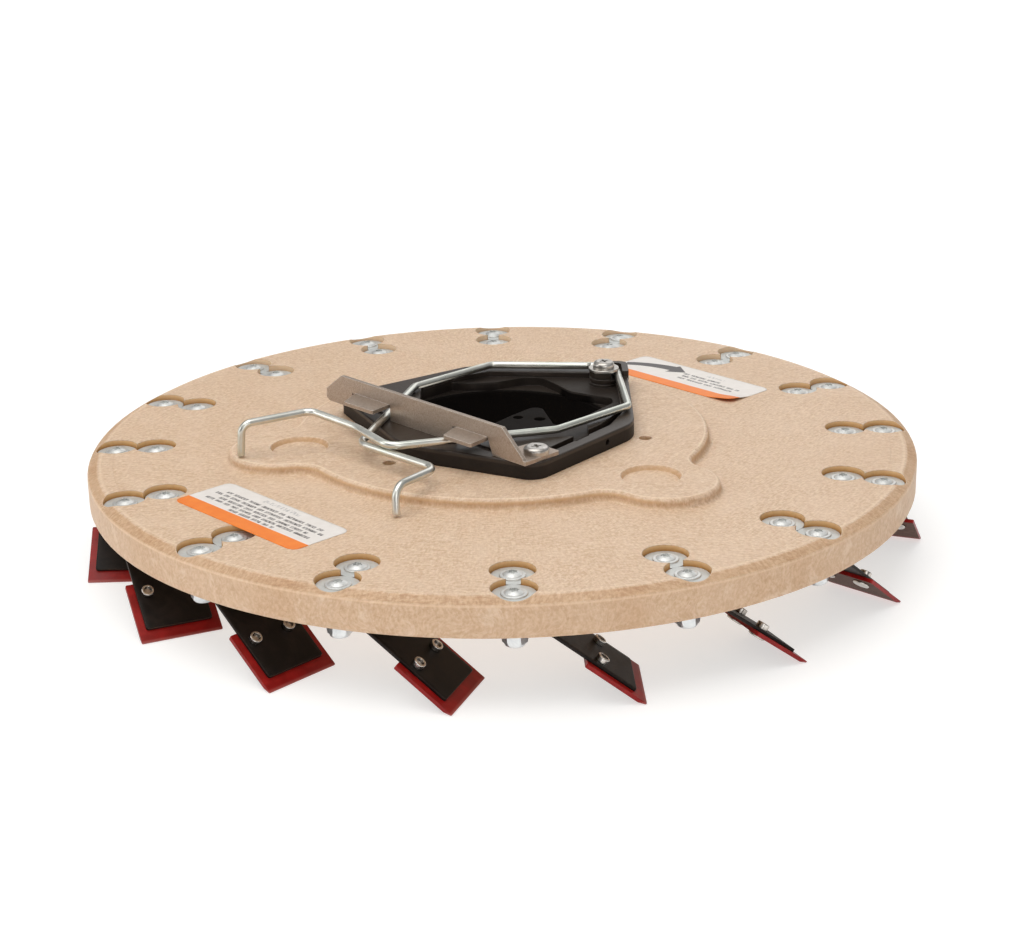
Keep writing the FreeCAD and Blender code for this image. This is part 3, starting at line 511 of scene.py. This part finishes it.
def blade_material():
    mat = Shader("blade_red_paint")
    point = mat.position
    z = mat.axes[2]
    rounded = mat.round_edges(radius=0.0004)
    edge = mat.edge_mask(rounded)
    cloud = point.noise(scale=90.0, detail=5.0, rough=0.62, warp=0.7)
    fine = point.noise(scale=1200.0, rough=0.6)
    orange_peel = point.noise(scale=420.0, detail=2.0, rough=0.5)
    # paint chips, more of them along the edges
    chips = point.noise(scale=700.0, detail=5.0, rough=0.72) + edge * 0.22
    chips = chips.ease(start=0.74, end=0.80)
    tip = z.ease(start=-0.0547, end=-0.0557)
    colour = cloud.ease(start=0.35, end=0.72).ramp(low=(0.225, 0.0060, 0.0050),
                                                   high=(0.335, 0.0105, 0.0085))
    # painted highlight along the edges
    colour = colour.tint(edge, amount=0.45, to=(0.50, 0.055, 0.045))
    colour = colour.tint(chips, amount=0.8, to=(0.11, 0.035, 0.028))
    colour = colour.tint(tip, amount=0.55, to=(0.42, 0.13, 0.11))
    # the downward face, above the tip, is left as dull brown steel
    bare = mat.normal.dot(UP).ease(start=-0.62, end=-0.74)
    bare = bare * z.ease(start=-0.0556, end=-0.0530)
    streak = point.stretch((16.0, 16.0, 2.0)).noise(scale=60.0, detail=5.0, rough=0.7, warp=0.6)
    steel = streak.ease(start=0.35, end=0.7).ramp(low=(0.066, 0.036, 0.025),
                                                  high=(0.118, 0.068, 0.049))
    colour = colour.tint(bare, amount=0.96, to=steel)
    normal = orange_peel.bump(distance=0.0003, strength=0.18, normal=rounded)
    normal = fine.bump(distance=0.00005, strength=0.4, normal=normal)
    normal = chips.bump(distance=-0.00008, strength=0.7, normal=normal)
    return mat.finish(Base_Color=colour,
                      Roughness=bare * 0.22 + (0.30 + (cloud * 0.18 + chips * 0.3)),
                      Specular_IOR_Level=0.24 - bare * 0.10, Coat_Weight=(1.0 - bare) * 0.06,
                      Coat_Roughness=0.22, Normal=normal)


def word_spans(start, end, seed):
    """Fixed run of word-like dashes filling a row, in mm."""
    shortest, spread, gap, stub = 4.0, 10.5, 1.7, 3.0
    spans = []
    while start < end - 1.0:
        seed = (seed * 1103515245 + 12345) % 2147483648
        width = shortest + spread * ((seed >> 8) % 1000) / 1000.0
        stop = min(start + width, end)
        if end - stop < stub:
            stop = end
        spans.append((start, stop))
        start = stop + gap
    return spans


def label_material(name, stripe, rows, header):
    """Printed vinyl, laid out in mm along and outwards from the latch bar.

    stripe: (low, high) outwards; rows: (start, end, middle); header: (start, end, low, high).
    """
    mat = Shader(name)
    point = mat.position
    along = point.dot(tuple(BAR_ALONG)) * MM_PER_METRE
    out = point.dot(tuple(BAR_OUT)) * MM_PER_METRE
    paper = point.noise(scale=160.0, detail=5.0, rough=0.6)
    fine = point.noise(scale=2400.0, detail=2.0, rough=0.6)
    colour = paper.ease(start=0.3, end=0.75).ramp(low=(0.765, 0.715, 0.665),
                                                  high=(0.815, 0.770, 0.725))
    half_height = 1.10
    printed = []
    for i, (start, end, middle) in enumerate(rows):
        words = [along.band(low=low, high=high, soft=0.12)
                 for low, high in word_spans(start, end, seed=77 + 31 * i)]
        row = out.band(low=middle - half_height, high=middle + half_height, soft=0.16)
        printed.append(reduce(Value.maximum, words) * row)
    # broken up into strokes, so each dash has the grey value of small print
    stroke = mat.combine(along * 1.25, out * 0.55, 3.0).noise(scale=1.0, detail=2.0, rough=0.6)
    stroke = stroke.ease(start=0.40, end=0.58, at_start=1.0, at_end=0.30)
    colour = colour.tint(reduce(Value.maximum, printed) * stroke, amount=0.95,
                         to=(0.048, 0.042, 0.042))
    start, end, low, high = header
    letters = mat.combine(along * 0.80, out * 0.22, 5.0).noise(scale=1.0, detail=2.0, rough=0.6)
    heading = (along.band(low=start, high=end, soft=0.15) * out.band(low=low, high=high, soft=0.25)
               * letters.ease(start=0.50, end=0.54))
    colour = colour.tint(heading, amount=0.55, to=(0.26, 0.26, 0.27))
    orange = paper.ease(start=0.3, end=0.75).ramp(low=(0.850, 0.205, 0.020),
                                                  high=(0.895, 0.250, 0.032))
    colour = colour.tint(out.band(low=stripe[0], high=stripe[1], soft=0.12), to=orange)
    normal = paper.bump(distance=0.0006, strength=0.10)
    normal = fine.bump(distance=0.00003, strength=0.4, normal=normal)
    return mat.finish(Base_Color=colour, Roughness=0.38 + paper * 0.18, Normal=normal)


def ink_material():
    mat = Shader("label_ink")
    cloud = mat.position.noise(scale=300.0, rough=0.6)
    return mat.finish(Base_Color=cloud.ramp(low=(0.060, 0.052, 0.050), high=(0.085, 0.075, 0.072)),
                      Roughness=0.38 + cloud * 0.12,
                      Normal=cloud.bump(distance=0.00005, strength=0.3))


def floor_material():
    """Pale and softly glowing, brighter away from the middle."""
    mat = Shader("studio_floor")
    cloud = mat.position.noise(scale=3.0, detail=3.0, rough=0.5)
    x, y, _ = mat.axes
    glow = 0.58 + length(x, y).ease(start=0.35, end=2.2, at_start=0.0, at_end=0.9)
    return mat.finish(Base_Color=cloud.ramp(low=(0.50, 0.50, 0.497), high=(0.53, 0.53, 0.527)),
                      Roughness=0.65, Specular_IOR_Level=0.2,
                      Emission_Color=(1.0, 0.995, 0.985, 1.0), Emission_Strength=glow)


BLOCK_PLASTIC = block_material()
CLUTCH_NYLON = clutch_material()
BAR_STEEL = bar_material()
WIRE_ZINC = wire_material()
ARM_STEEL = arm_material()
BLADE_PAINT = blade_material()
NICKEL = metal_material(
    "pan_head_nickel", base=(0.66, 0.630, 0.590), dark=(0.42, 0.390, 0.355),
    rough=0.26, grain=800.0, wear=0.25, radius=0.0004)
SCREW_ZINC = metal_material(
    "zinc_screw", base=(0.74, 0.745, 0.725), dark=(0.60, 0.605, 0.585),
    rough=0.40, grain=900.0, wear=0.15, metallic=0.75)
WASHER_ZINC = metal_material(
    "zinc_washer", base=(0.655, 0.665, 0.645), dark=(0.565, 0.575, 0.555),
    rough=0.48, grain=1000.0, wear=0.12, radius=0.0004, metallic=0.60)
NUT_ZINC = metal_material(
    "zinc_nut", base=(0.80, 0.81, 0.81), dark=(0.62, 0.64, 0.65),
    rough=0.24, grain=700.0, wear=0.2, metallic=0.9)
BARREL_NUT = metal_material(
    "barrel_nut", base=(0.78, 0.74, 0.69), dark=(0.46, 0.42, 0.38),
    rough=0.17, grain=900.0, wear=0.4, corner_shade_strength=0.92)
FRONT_PRINT = label_material(
    "label_front_print", stripe=(177.2, 190.0),
    rows=[(-38.8, 40.7, 160.4), (-43.4, 45.0, 164.2), (-35.4, 37.5, 168.0),
          (-42.1, 43.2, 171.5), (-18.1, 19.1, 175.1)],
    header=(-14.3, 15.6, 153.6, 156.6))
BACK_PRINT = label_material(
    "label_back_print", stripe=(-141.6, -125.0),
    rows=[(-4.3, 24.4, -157.4), (-2.3, 42.7, -153.4), (-2.5, 40.1, -149.3)],
    header=(9.1, 23.6, -163.6, -161.2))
INK = ink_material()


# --------------------------------------------------------------------------
# mesh helpers
# --------------------------------------------------------------------------
def new_object(name, verts, faces, material, smooth=True):
    mesh = bpy.data.meshes.new(name)
    mesh.from_pydata([tuple(v) for v in verts], [], faces)
    mesh.validate()
    mesh.update()
    obj = bpy.data.objects.new(name, mesh)
    bpy.context.scene.collection.objects.link(obj)
    mesh.materials.append(material)
    if smooth:
        for polygon in mesh.polygons:
            polygon.use_smooth = True
    return obj


def corner_inset(radius, distance):
    """How far a rounded corner draws the side in, at a distance from the end."""
    if distance >= radius:
        return 0.0
    return radius - math.sqrt(max(0.0, radius * radius - (radius - distance) ** 2))


def slab_faces(rows, columns, winding):
    """Faces of a slab whose vertices are an upper grid followed by a lower one.

    winding spells the corners of six faces: upper, lower, first column's side, last column's
    side, first row's end, last row's end. Round a cell, a and b lie on its first row, c and d
    on its second, b and c in the later column; capitals are the lower grid.
    """
    upper, lower, first_side, last_side, first_end, last_end = winding
    across = columns + 1
    layer = (rows + 1) * across

    def face(i, j, letters):
        start = i * across + j
        corners = {"a": start, "b": start + 1, "c": start + across + 1, "d": start + across}
        return tuple(corners[k.lower()] + (layer if k.isupper() else 0) for k in letters)

    faces = []
    for i in range(rows):
        for j in range(columns):
            faces += [face(i, j, upper), face(i, j, lower)]
        faces += [face(i, 0, first_side), face(i, columns - 1, last_side)]
    for j in range(columns):
        faces += [face(0, j, first_end), face(rows - 1, j, last_end)]
    return faces


def filleted_path(points, bends, step=1.2):
    """Polyline with an arc at each inner corner, straight runs filled in. Millimetres."""
    points = [Vector(p) for p in points]
    corners = [points[0]]
    for i in range(1, len(points) - 1):
        corner = points[i]
        before, after = points[i - 1] - corner, points[i + 1] - corner
        before_length, after_length = before.length, after.length
        before.normalize()
        after.normalize()
        opening = math.acos(max(-1, min(1, before.dot(after))))
        # an arc may use up just under half of each neighbouring run
        trim = min(bends[i - 1] / math.tan(opening / 2), 0.48 * before_length,
                   0.48 * after_length)
        radius = trim * math.tan(opening / 2)
        centre = corner + (before + after).normalized() * (radius / math.sin(opening / 2))
        spoke = (corner + before * trim - centre).normalized()
        last_spoke = (corner + after * trim - centre).normalized()
        turn = math.acos(max(-1, min(1, spoke.dot(last_spoke))))
        across = (last_spoke - spoke * spoke.dot(last_spoke)).normalized()
        count = max(4, int(radius * turn / step) + 1, int(math.degrees(turn) / 6) + 1)
        for k in range(count + 1):
            t = turn * k / count
            corners.append(centre + (spoke * math.cos(t) + across * math.sin(t)) * radius)
    corners.append(points[-1])
    path = [corners[0]]
    for target in corners[1:]:
        gap = (target - path[-1]).length
        if gap < 1e-4:
            continue
        count = max(1, int(gap / (step * 2.5)))
        base = path[-1].copy()
        for k in range(1, count + 1):
            path.append(base.lerp(target, k / count))
    return path


def sweep(name, path, radius, material, end_round=0.0, segments=24):
    """Closed round bar along a path in mm; end_round rounds the rim of its last end."""
    count = len(path)
    tangents = [(path[min(count - 1, i + 1)] - path[max(0, i - 1)]).normalized()
                for i in range(count)]
    reference = Vector(UP) if abs(tangents[0].z) < 0.9 else Vector((1, 0, 0))
    spoke = tangents[0].cross(reference).normalized()
    rings = []                                  # (centre, tangent, spoke, radius)
    for i, tangent in enumerate(tangents):
        if i:
            # carry the spoke along without twist
            axis = tangents[i - 1].cross(tangent)
            if axis.length > 1e-9:
                turn = math.asin(max(-1, min(1, axis.length)))
                spoke = Matrix.Rotation(turn, 3, axis.normalized()) @ spoke
        spoke = (spoke - tangent * spoke.dot(tangent)).normalized()
        rings.append((path[i], tangent, spoke.copy(), radius))
    if end_round:
        end, tangent, spoke, _ = rings[-1]
        rings = [ring for ring in rings if (ring[0] - end).length > end_round * 1.05]
        rings.append((end - tangent * end_round, tangent, spoke, radius))
        for k in range(1, 5):
            t = math.pi / 2 * k / 4
            rings.append((end - tangent * end_round * (1 - math.sin(t)), tangent, spoke,
                          radius - end_round + end_round * math.cos(t)))
    verts, faces = [], []
    for centre, tangent, spoke, ring_radius in rings:
        across = tangent.cross(spoke)
        for k in range(segments):
            a = 2 * math.pi * k / segments
            offset = (spoke * math.cos(a) + across * math.sin(a)) * ring_radius
            verts.append((centre + offset) * MM)
    for i in range(len(rings) - 1):
        here, ahead = i * segments, (i + 1) * segments
        for k in range(segments):
            after = (k + 1) % segments
            faces.append((here + k, here + after, ahead + after, ahead + k))
    faces.append(tuple(reversed(range(segments))))
    faces.append(tuple((len(rings) - 1) * segments + k for k in range(segments)))
    return new_object(name, verts, faces, material)


# --------------------------------------------------------------------------
# spring arms: one strip per station, a flat foot under the block and a sloping leg.
# Positions on an arm are radial, tangential (along it) and z.
# --------------------------------------------------------------------------
ARM_THICKNESS, ARM_INNER, ARM_OUTER = 1.6, 187.5, 222.0
ARM_START, ARM_BEND = -16.0, 16.25              # tangential: end of the foot, bend corner
ARM_SLOPE = math.radians(37.4)
ARM_LENGTH, ARM_BEND_RADIUS = 50.0, 8.0         # length is from the bend corner
ARM_Z = -BLOCK_THICKNESS - ARM_THICKNESS / 2    # middle of the foot's thickness
FOOT_CORNER, TIP_CORNER = 3.0, 1.2              # corner radii in plan
FOOT_ROWS, BEND_ROWS, LEG_ROWS, ARM_COLUMNS = 26, 10, 36, 14
ARM_WINDING = ("abcd", "DCBA", "adDA", "cbBC", "baAB", "dcCD")


def arm_profile():
    """Rows of (tangential, z, normal's tangential, normal's z, distance run), and the total."""
    trim = ARM_BEND_RADIUS * math.tan(ARM_SLOPE / 2)
    foot = ARM_BEND - trim - ARM_START
    rows = []
    for i in range(FOOT_ROWS + 1):
        f = i / FOOT_ROWS
        f = f if f > 0.2 else 0.2 * (f / 0.2) ** 1.5        # denser at the rounded corners
        rows.append((ARM_START + foot * f, ARM_Z, 0.0, 1.0, foot * f))
    for i in range(1, BEND_ROWS + 1):
        t = ARM_SLOPE * i / BEND_ROWS
        rows.append((ARM_BEND - trim + ARM_BEND_RADIUS * math.sin(t),
                     ARM_Z - ARM_BEND_RADIUS * (1 - math.cos(t)),
                     math.sin(t), math.cos(t), foot + ARM_BEND_RADIUS * t))
    run = foot + ARM_BEND_RADIUS * ARM_SLOPE
    leg = ARM_LENGTH - trim
    for i in range(1, LEG_ROWS + 1):
        f = i / LEG_ROWS
        f = f if f < 0.9 else 1 - 0.1 * ((1 - f) / 0.1) ** 1.6
        down = trim + leg * f
        rows.append((ARM_BEND + down * math.cos(ARM_SLOPE), ARM_Z - down * math.sin(ARM_SLOPE),
                     math.sin(ARM_SLOPE), math.cos(ARM_SLOPE), run + leg * f))
    return rows, run + leg


def soften_arm(obj):
    """Bevel the edges into the mesh, then shade smooth with sharp edges kept."""
    bevel = obj.modifiers.new("bevel", "BEVEL")
    bevel.width = 0.22 * MM
    bevel.segments = 2
    bevel.limit_method = "ANGLE"
    bevel.angle_limit = math.radians(40)
    depsgraph = bpy.context.evaluated_depsgraph_get()
    mesh = bpy.data.meshes.new_from_object(obj.evaluated_get(depsgraph))
    obj.modifiers.clear()
    obj.data = mesh
    mesh.update()
    for polygon in mesh.polygons:
        polygon.use_smooth = True
    mesh.set_sharp_from_angle(angle=math.radians(50))


def spring_arm(k):
    angle = math.radians(FIRST_STATION_ANGLE + STATION_STEP * k)
    radial = Vector((math.cos(angle), math.sin(angle), 0))
    tangential = Vector((-math.sin(angle), math.cos(angle), 0))
    vertical = Vector(UP)
    middle, half_width = (ARM_INNER + ARM_OUTER) / 2, (ARM_OUTER - ARM_INNER) / 2
    rows, total = arm_profile()
    upper, lower = [], []
    for t, z, normal_t, normal_z, run in rows:
        width = half_width - corner_inset(FOOT_CORNER, run) - corner_inset(TIP_CORNER, total - run)
        normal = tangential * normal_t + vertical * normal_z
        for j in range(ARM_COLUMNS + 1):
            x = middle + width * (2 * j / ARM_COLUMNS - 1)
            centre = radial * x + tangential * t + vertical * z
            upper.append((centre + normal * (ARM_THICKNESS / 2)) * MM)
            lower.append((centre - normal * (ARM_THICKNESS / 2)) * MM)
    faces = slab_faces(len(rows) - 1, ARM_COLUMNS, ARM_WINDING)
    arm = new_object("spring_arm_%02d" % (k + 1), upper + lower, faces, ARM_STEEL)
    soften_arm(arm)

    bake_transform(arm)
    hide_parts("spring_arms")


for k in range(STATIONS):
    spring_arm(k)

# --------------------------------------------------------------------------
# latch wire: two legs joined by a bend between their first points
# --------------------------------------------------------------------------
WIRE_RADIUS = 2.1
# corner points x, y, z of each leg, and the bend radius at each inner corner
FRONT_LEG = [(68.1, 56.8, 18.3), (70.6, -5.2, 18.3), (29.9, -42.8, 18.1), (-59.1, -71.6, 20.4),
             (-77.9, -45.6, 22.6), (-103.9, -23.4, 25.0), (-139.3, -42.8, 24.6),
             (-140.7, -42.8, 6.9)]
FRONT_BENDS = [6.5, 9.0, 9.0, 40.0, 7.0, 5.5]
BACK_LEG = [(53.6, 71.9, 18.3), (-5.6, 77.7, 18.3), (-49.3, 38.2, 18.3), (-69.1, -32.0, 17.4),
            (-75.5, -53.8, 16.2), (-34.1, -92.6, 15.2), (-54.0, -118.6, 15.4),
            (-53.8, -121.9, 1.4)]
BACK_BENDS = [7.0, 8.0, 60.0, 9.0, 7.5, 9.0]


def latch_leg(side, points, bends):
    leg = sweep("latch_leg_" + side, filleted_path(points, bends), WIRE_RADIUS, WIRE_ZINC,
                end_round=0.5)
    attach(leg, "latch_%s_leg" % side)
    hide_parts("latch_wire_" + side)


def latch_corner():
    """Cubic curve leaving each leg straight on, tucked slightly into both."""
    steps, handle_share, overlap = 32, 0.41, 0.05
    start, end = Vector(FRONT_LEG[0]), Vector(BACK_LEG[0])
    leave = (start - Vector(FRONT_LEG[1])).normalized()
    arrive = (end - Vector(BACK_LEG[1])).normalized()
    reach = (end - start).length * handle_share
    handle_1, handle_2 = start + leave * reach, end + arrive * reach
    curve = [start - leave * overlap]
    for i in range(steps + 1):
        t = i / steps
        curve.append(start * (1 - t) ** 3 + handle_1 * 3 * t * (1 - t) ** 2
                     + handle_2 * 3 * t * t * (1 - t) + end * t ** 3)
    curve.append(end - arrive * overlap)
    bend = sweep("latch_corner", curve, WIRE_RADIUS, WIRE_ZINC)
    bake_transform(bend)
    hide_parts("latch_wire_bend")


latch_leg("front", FRONT_LEG, FRONT_BENDS)
latch_leg("back", BACK_LEG, BACK_BENDS)
latch_corner()

# --------------------------------------------------------------------------
# labels: thin vinyl, one with a curled corner, and a printed arrow.
# They are laid out along and outwards from the latch bar.
# --------------------------------------------------------------------------
LABEL_THICKNESS, LABEL_CORNER, LABEL_Z = 0.18, 4.5, 0.03
LABEL_COLUMNS, LABEL_ROWS = 84, 34
LABEL_WINDING = ("adcb", "ABCD", "aADd", "bcCB", "abBA", "dDCc")
CURL_REACH, CURL_LIFT = 20.0, 2.2


def on_block(along, out, height):
    """Point in metres from a place in mm."""
    place = BAR_ALONG * along + BAR_OUT * out
    return Vector((place.x, place.y, height)) * MM


def label(side, along, out, material, curled=False):
    """along, out: (low, high) extents; the curl is at the corner where both are high."""
    (along_low, along_high), (out_low, out_high) = along, out
    upper, lower = [], []
    for i in range(LABEL_ROWS + 1):
        v = out_low + (out_high - out_low) * i / LABEL_ROWS
        margin = min(v - out_low, out_high - v)
        inset = corner_inset(LABEL_CORNER, margin)
        for j in range(LABEL_COLUMNS + 1):
            u = along_low + inset + (along_high - along_low - 2 * inset) * j / LABEL_COLUMNS
            z = LABEL_Z
            if curled:
                near = max(0.0, 1 - math.hypot(u - along_high, v - out_high) / CURL_REACH)
                z += CURL_LIFT * near * near * (3 - 2 * near)
            # slight waviness, fading towards the long edges
            z += (0.05 * math.sin(0.21 * u + 1.3) * math.sin(0.33 * v + 0.4) ** 2
                  * min(1.0, margin / 3 + 0.15))
            upper.append(on_block(u, v, z + LABEL_THICKNESS))
            lower.append(on_block(u, v, z))
    vinyl = new_object("label_%s_vinyl" % side, upper + lower,
                       slab_faces(LABEL_ROWS, LABEL_COLUMNS, LABEL_WINDING), material)
    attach(vinyl, "disc")
    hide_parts("label_" + side)


# shaft centre line as a quadratic curve, and the three corners of the head
ARROW_CURVE = Vector((-44.5, -149.2)), Vector((-34.0, -157.6)), Vector((-16.0, -160.5))
ARROW_HEAD = [Vector((-15.6, -152.8)), Vector((-4.9, -159.3)), Vector((-15.8, -166.6))]
ARROW_STEPS = 24
ARROW_HALF_WIDTH, ARROW_WIDENING = 2.6, 1.3
ARROW_TOP, ARROW_BOTTOM = 0.26, 0.20


def label_arrow():
    """Curved direction arrow, a raised film of ink on the back label."""
    start, handle, end = ARROW_CURVE
    curve = []
    for i in range(ARROW_STEPS + 1):
        t = i / ARROW_STEPS
        curve.append(start * (1 - t) ** 2 + handle * 2 * t * (1 - t) + end * t * t)
    left, right = [], []
    for i, point in enumerate(curve):
        heading = (curve[min(ARROW_STEPS, i + 1)] - curve[max(0, i - 1)]).normalized()
        normal = Vector((-heading.y, heading.x))
        width = ARROW_HALF_WIDTH + ARROW_WIDENING * (i / ARROW_STEPS)
        left.append(point + normal * width)
        right.append(point - normal * width)
    outline = left + ARROW_HEAD + right[::-1]
    verts = [on_block(p.x, p.y, height) for height in (ARROW_TOP, ARROW_BOTTOM) for p in outline]
    count = len(outline)
    faces = [tuple(range(count)), tuple(range(2 * count - 1, count - 1, -1))]
    for i in range(count):
        j = (i + 1) % count
        faces.append((i, j, count + j, count + i))
    arrow = new_object("label_back_arrow", verts, faces, INK, smooth=False)
    work = bmesh.new()
    work.from_mesh(arrow.data)
    bmesh.ops.recalc_face_normals(work, faces=work.faces)
    work.to_mesh(arrow.data)
    work.free()
    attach(arrow, "disc")


label("front", along=(-50.0, 50.3), out=(150.6, 187.0), material=FRONT_PRINT)
label("back", along=(-47.5, 53.5), out=(-169.2, -132.4), material=BACK_PRINT, curled=True)
label_arrow()

# --------------------------------------------------------------------------
# materials of the CAD nodes
# --------------------------------------------------------------------------
NODE_MATERIALS = [
    ("mounting_block", BLOCK_PLASTIC),
    ("clutch_plate", CLUTCH_NYLON),
    ("clutch_sleeve", CLUTCH_NYLON),
    ("clutch_plate_nuts", NUT_ZINC),
    ("latch_bar", BAR_STEEL),
    ("latch_bar_screws", NICKEL),
    ("latch_anchor_screw", NICKEL),
    ("latch_anchor_washer", NICKEL),
    ("station_screws", SCREW_ZINC),
    ("station_washers", WASHER_ZINC),
    ("station_lock_nuts", NUT_ZINC),
    ("spring_arms", ARM_STEEL),
    ("latch_wire_front", WIRE_ZINC),
    ("latch_wire_back", WIRE_ZINC),
    ("latch_wire_bend", WIRE_ZINC),
    ("label_front", FRONT_PRINT),
    ("label_back", BACK_PRINT),
]
for k in range(STATIONS):
    NODE_MATERIALS += [("scraper_blade_%02d" % (k + 1), BLADE_PAINT),
                       ("blade_fasteners_%02d" % (k + 1), BARREL_NUT)]
for node, material in NODE_MATERIALS:
    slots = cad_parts[node].data.materials
    slots.clear()
    slots.append(material)


# --------------------------------------------------------------------------
# studio, in metres
# --------------------------------------------------------------------------
def studio_floor():
    """Square grid just below the lowest point of the product."""
    cells, size, gap = 24, 30, 0.0002
    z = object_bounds()[0][2] - gap
    bpy.ops.mesh.primitive_plane_add(size=1.0)
    floor = bpy.context.object
    floor.name = "studio_floor"
    mesh = floor.data
    mesh.clear_geometry()
    across = cells + 1
    verts = [((i / cells - 0.5) * size, (j / cells - 0.5) * size, z)
             for j in range(across) for i in range(across)]
    faces = [(j * across + i, j * across + i + 1, (j + 1) * across + i + 1, (j + 1) * across + i)
             for j in range(cells) for i in range(cells)]
    mesh.from_pydata(verts, [], faces)
    mesh.materials.append(floor_material())
    floor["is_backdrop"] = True


def area_light(name, location, size, power, colour=(1, 1, 1)):
    """Square light aimed at the origin."""
    light = bpy.data.lights.new(name, "AREA")
    light.energy = power
    light.color = colour
    light.size = size
    obj = bpy.data.objects.new(name, light)
    bpy.context.scene.collection.objects.link(obj)
    obj.location = location
    obj.rotation_euler = (-Vector(location)).to_track_quat("-Z", "Y").to_euler()


def studio_world():
    """Grey surroundings, brightening to white overhead."""
    world = bpy.data.worlds.new("studio")
    bpy.context.scene.world = world
    world.use_nodes = True
    graph = Graph(world.node_tree)
    output = graph.tree.nodes.new("ShaderNodeOutputWorld")
    direction = graph.add("ShaderNodeTexCoord", {}, "Generated")
    height = graph.add("ShaderNodeSeparateXYZ", {0: direction}, 2)
    sky = graph.add("ShaderNodeValToRGB", {0: height})
    stops = sky.socket.node.color_ramp.elements
    stops[0].color = (0.30, 0.30, 0.31, 1)
    stops[1].color = (1.0, 1.0, 1.0, 1)
    stops.new(0.25).color = (0.40, 0.40, 0.41, 1)
    background = graph.add("ShaderNodeBackground", {"Color": sky, "Strength": 0.62})
    graph.put(output.inputs[0], background)


CAMERA_DISTANCE = 5.0833 * BLOCK_RADIUS * MM
CAMERA_ELEVATION, CAMERA_ROLL = math.radians(19.0138), math.radians(-1.1535)
SENSOR_WIDTH, FOCAL_LENGTH = 36.0, 72.9402890625        # mm
SHIFT_X, SHIFT_Y = 0.01017724609, -0.02684990234        # shares of the frame's width


def studio_camera():
    """Looks at the origin from the front and above."""
    sin_up, cos_up = math.sin(CAMERA_ELEVATION), math.cos(CAMERA_ELEVATION)
    sin_roll, cos_roll = math.sin(CAMERA_ROLL), math.cos(CAMERA_ROLL)
    backward = Vector((0, -cos_up, sin_up))
    right = Vector((1, 0, 0))
    upward = Vector((0, sin_up, cos_up))
    data = bpy.data.cameras.new("camera")
    data.sensor_width = SENSOR_WIDTH
    data.lens = FOCAL_LENGTH
    data.shift_x = SHIFT_X
    data.shift_y = SHIFT_Y
    data.clip_start = 0.01
    camera = bpy.data.objects.new("camera", data)
    bpy.context.scene.collection.objects.link(camera)
    pose = Matrix((right * cos_roll + upward * sin_roll, -right * sin_roll + upward * cos_roll,
                   backward)).transposed().to_4x4()
    pose.translation = backward * CAMERA_DISTANCE
    camera.matrix_world = pose
    bpy.context.scene.camera = camera


studio_floor()
area_light("key_overhead", location=(-0.35, -0.25, 1.7), size=1.7, power=19.0,
           colour=(1.0, 0.985, 0.965))
area_light("fill_front", location=(0.5, -2.2, 0.9), size=1.4, power=9.0, colour=(1.0, 0.99, 0.98))
area_light("rim_back", location=(0.7, 1.9, 1.1), size=1.6, power=8.0)
area_light("left_strip", location=(-1.9, -0.3, 0.7), size=1.0, power=6.0)
studio_world()
studio_camera()
bpy.context.scene.view_settings.view_transform = "Standard"
bpy.context.scene.view_settings.look = "None"
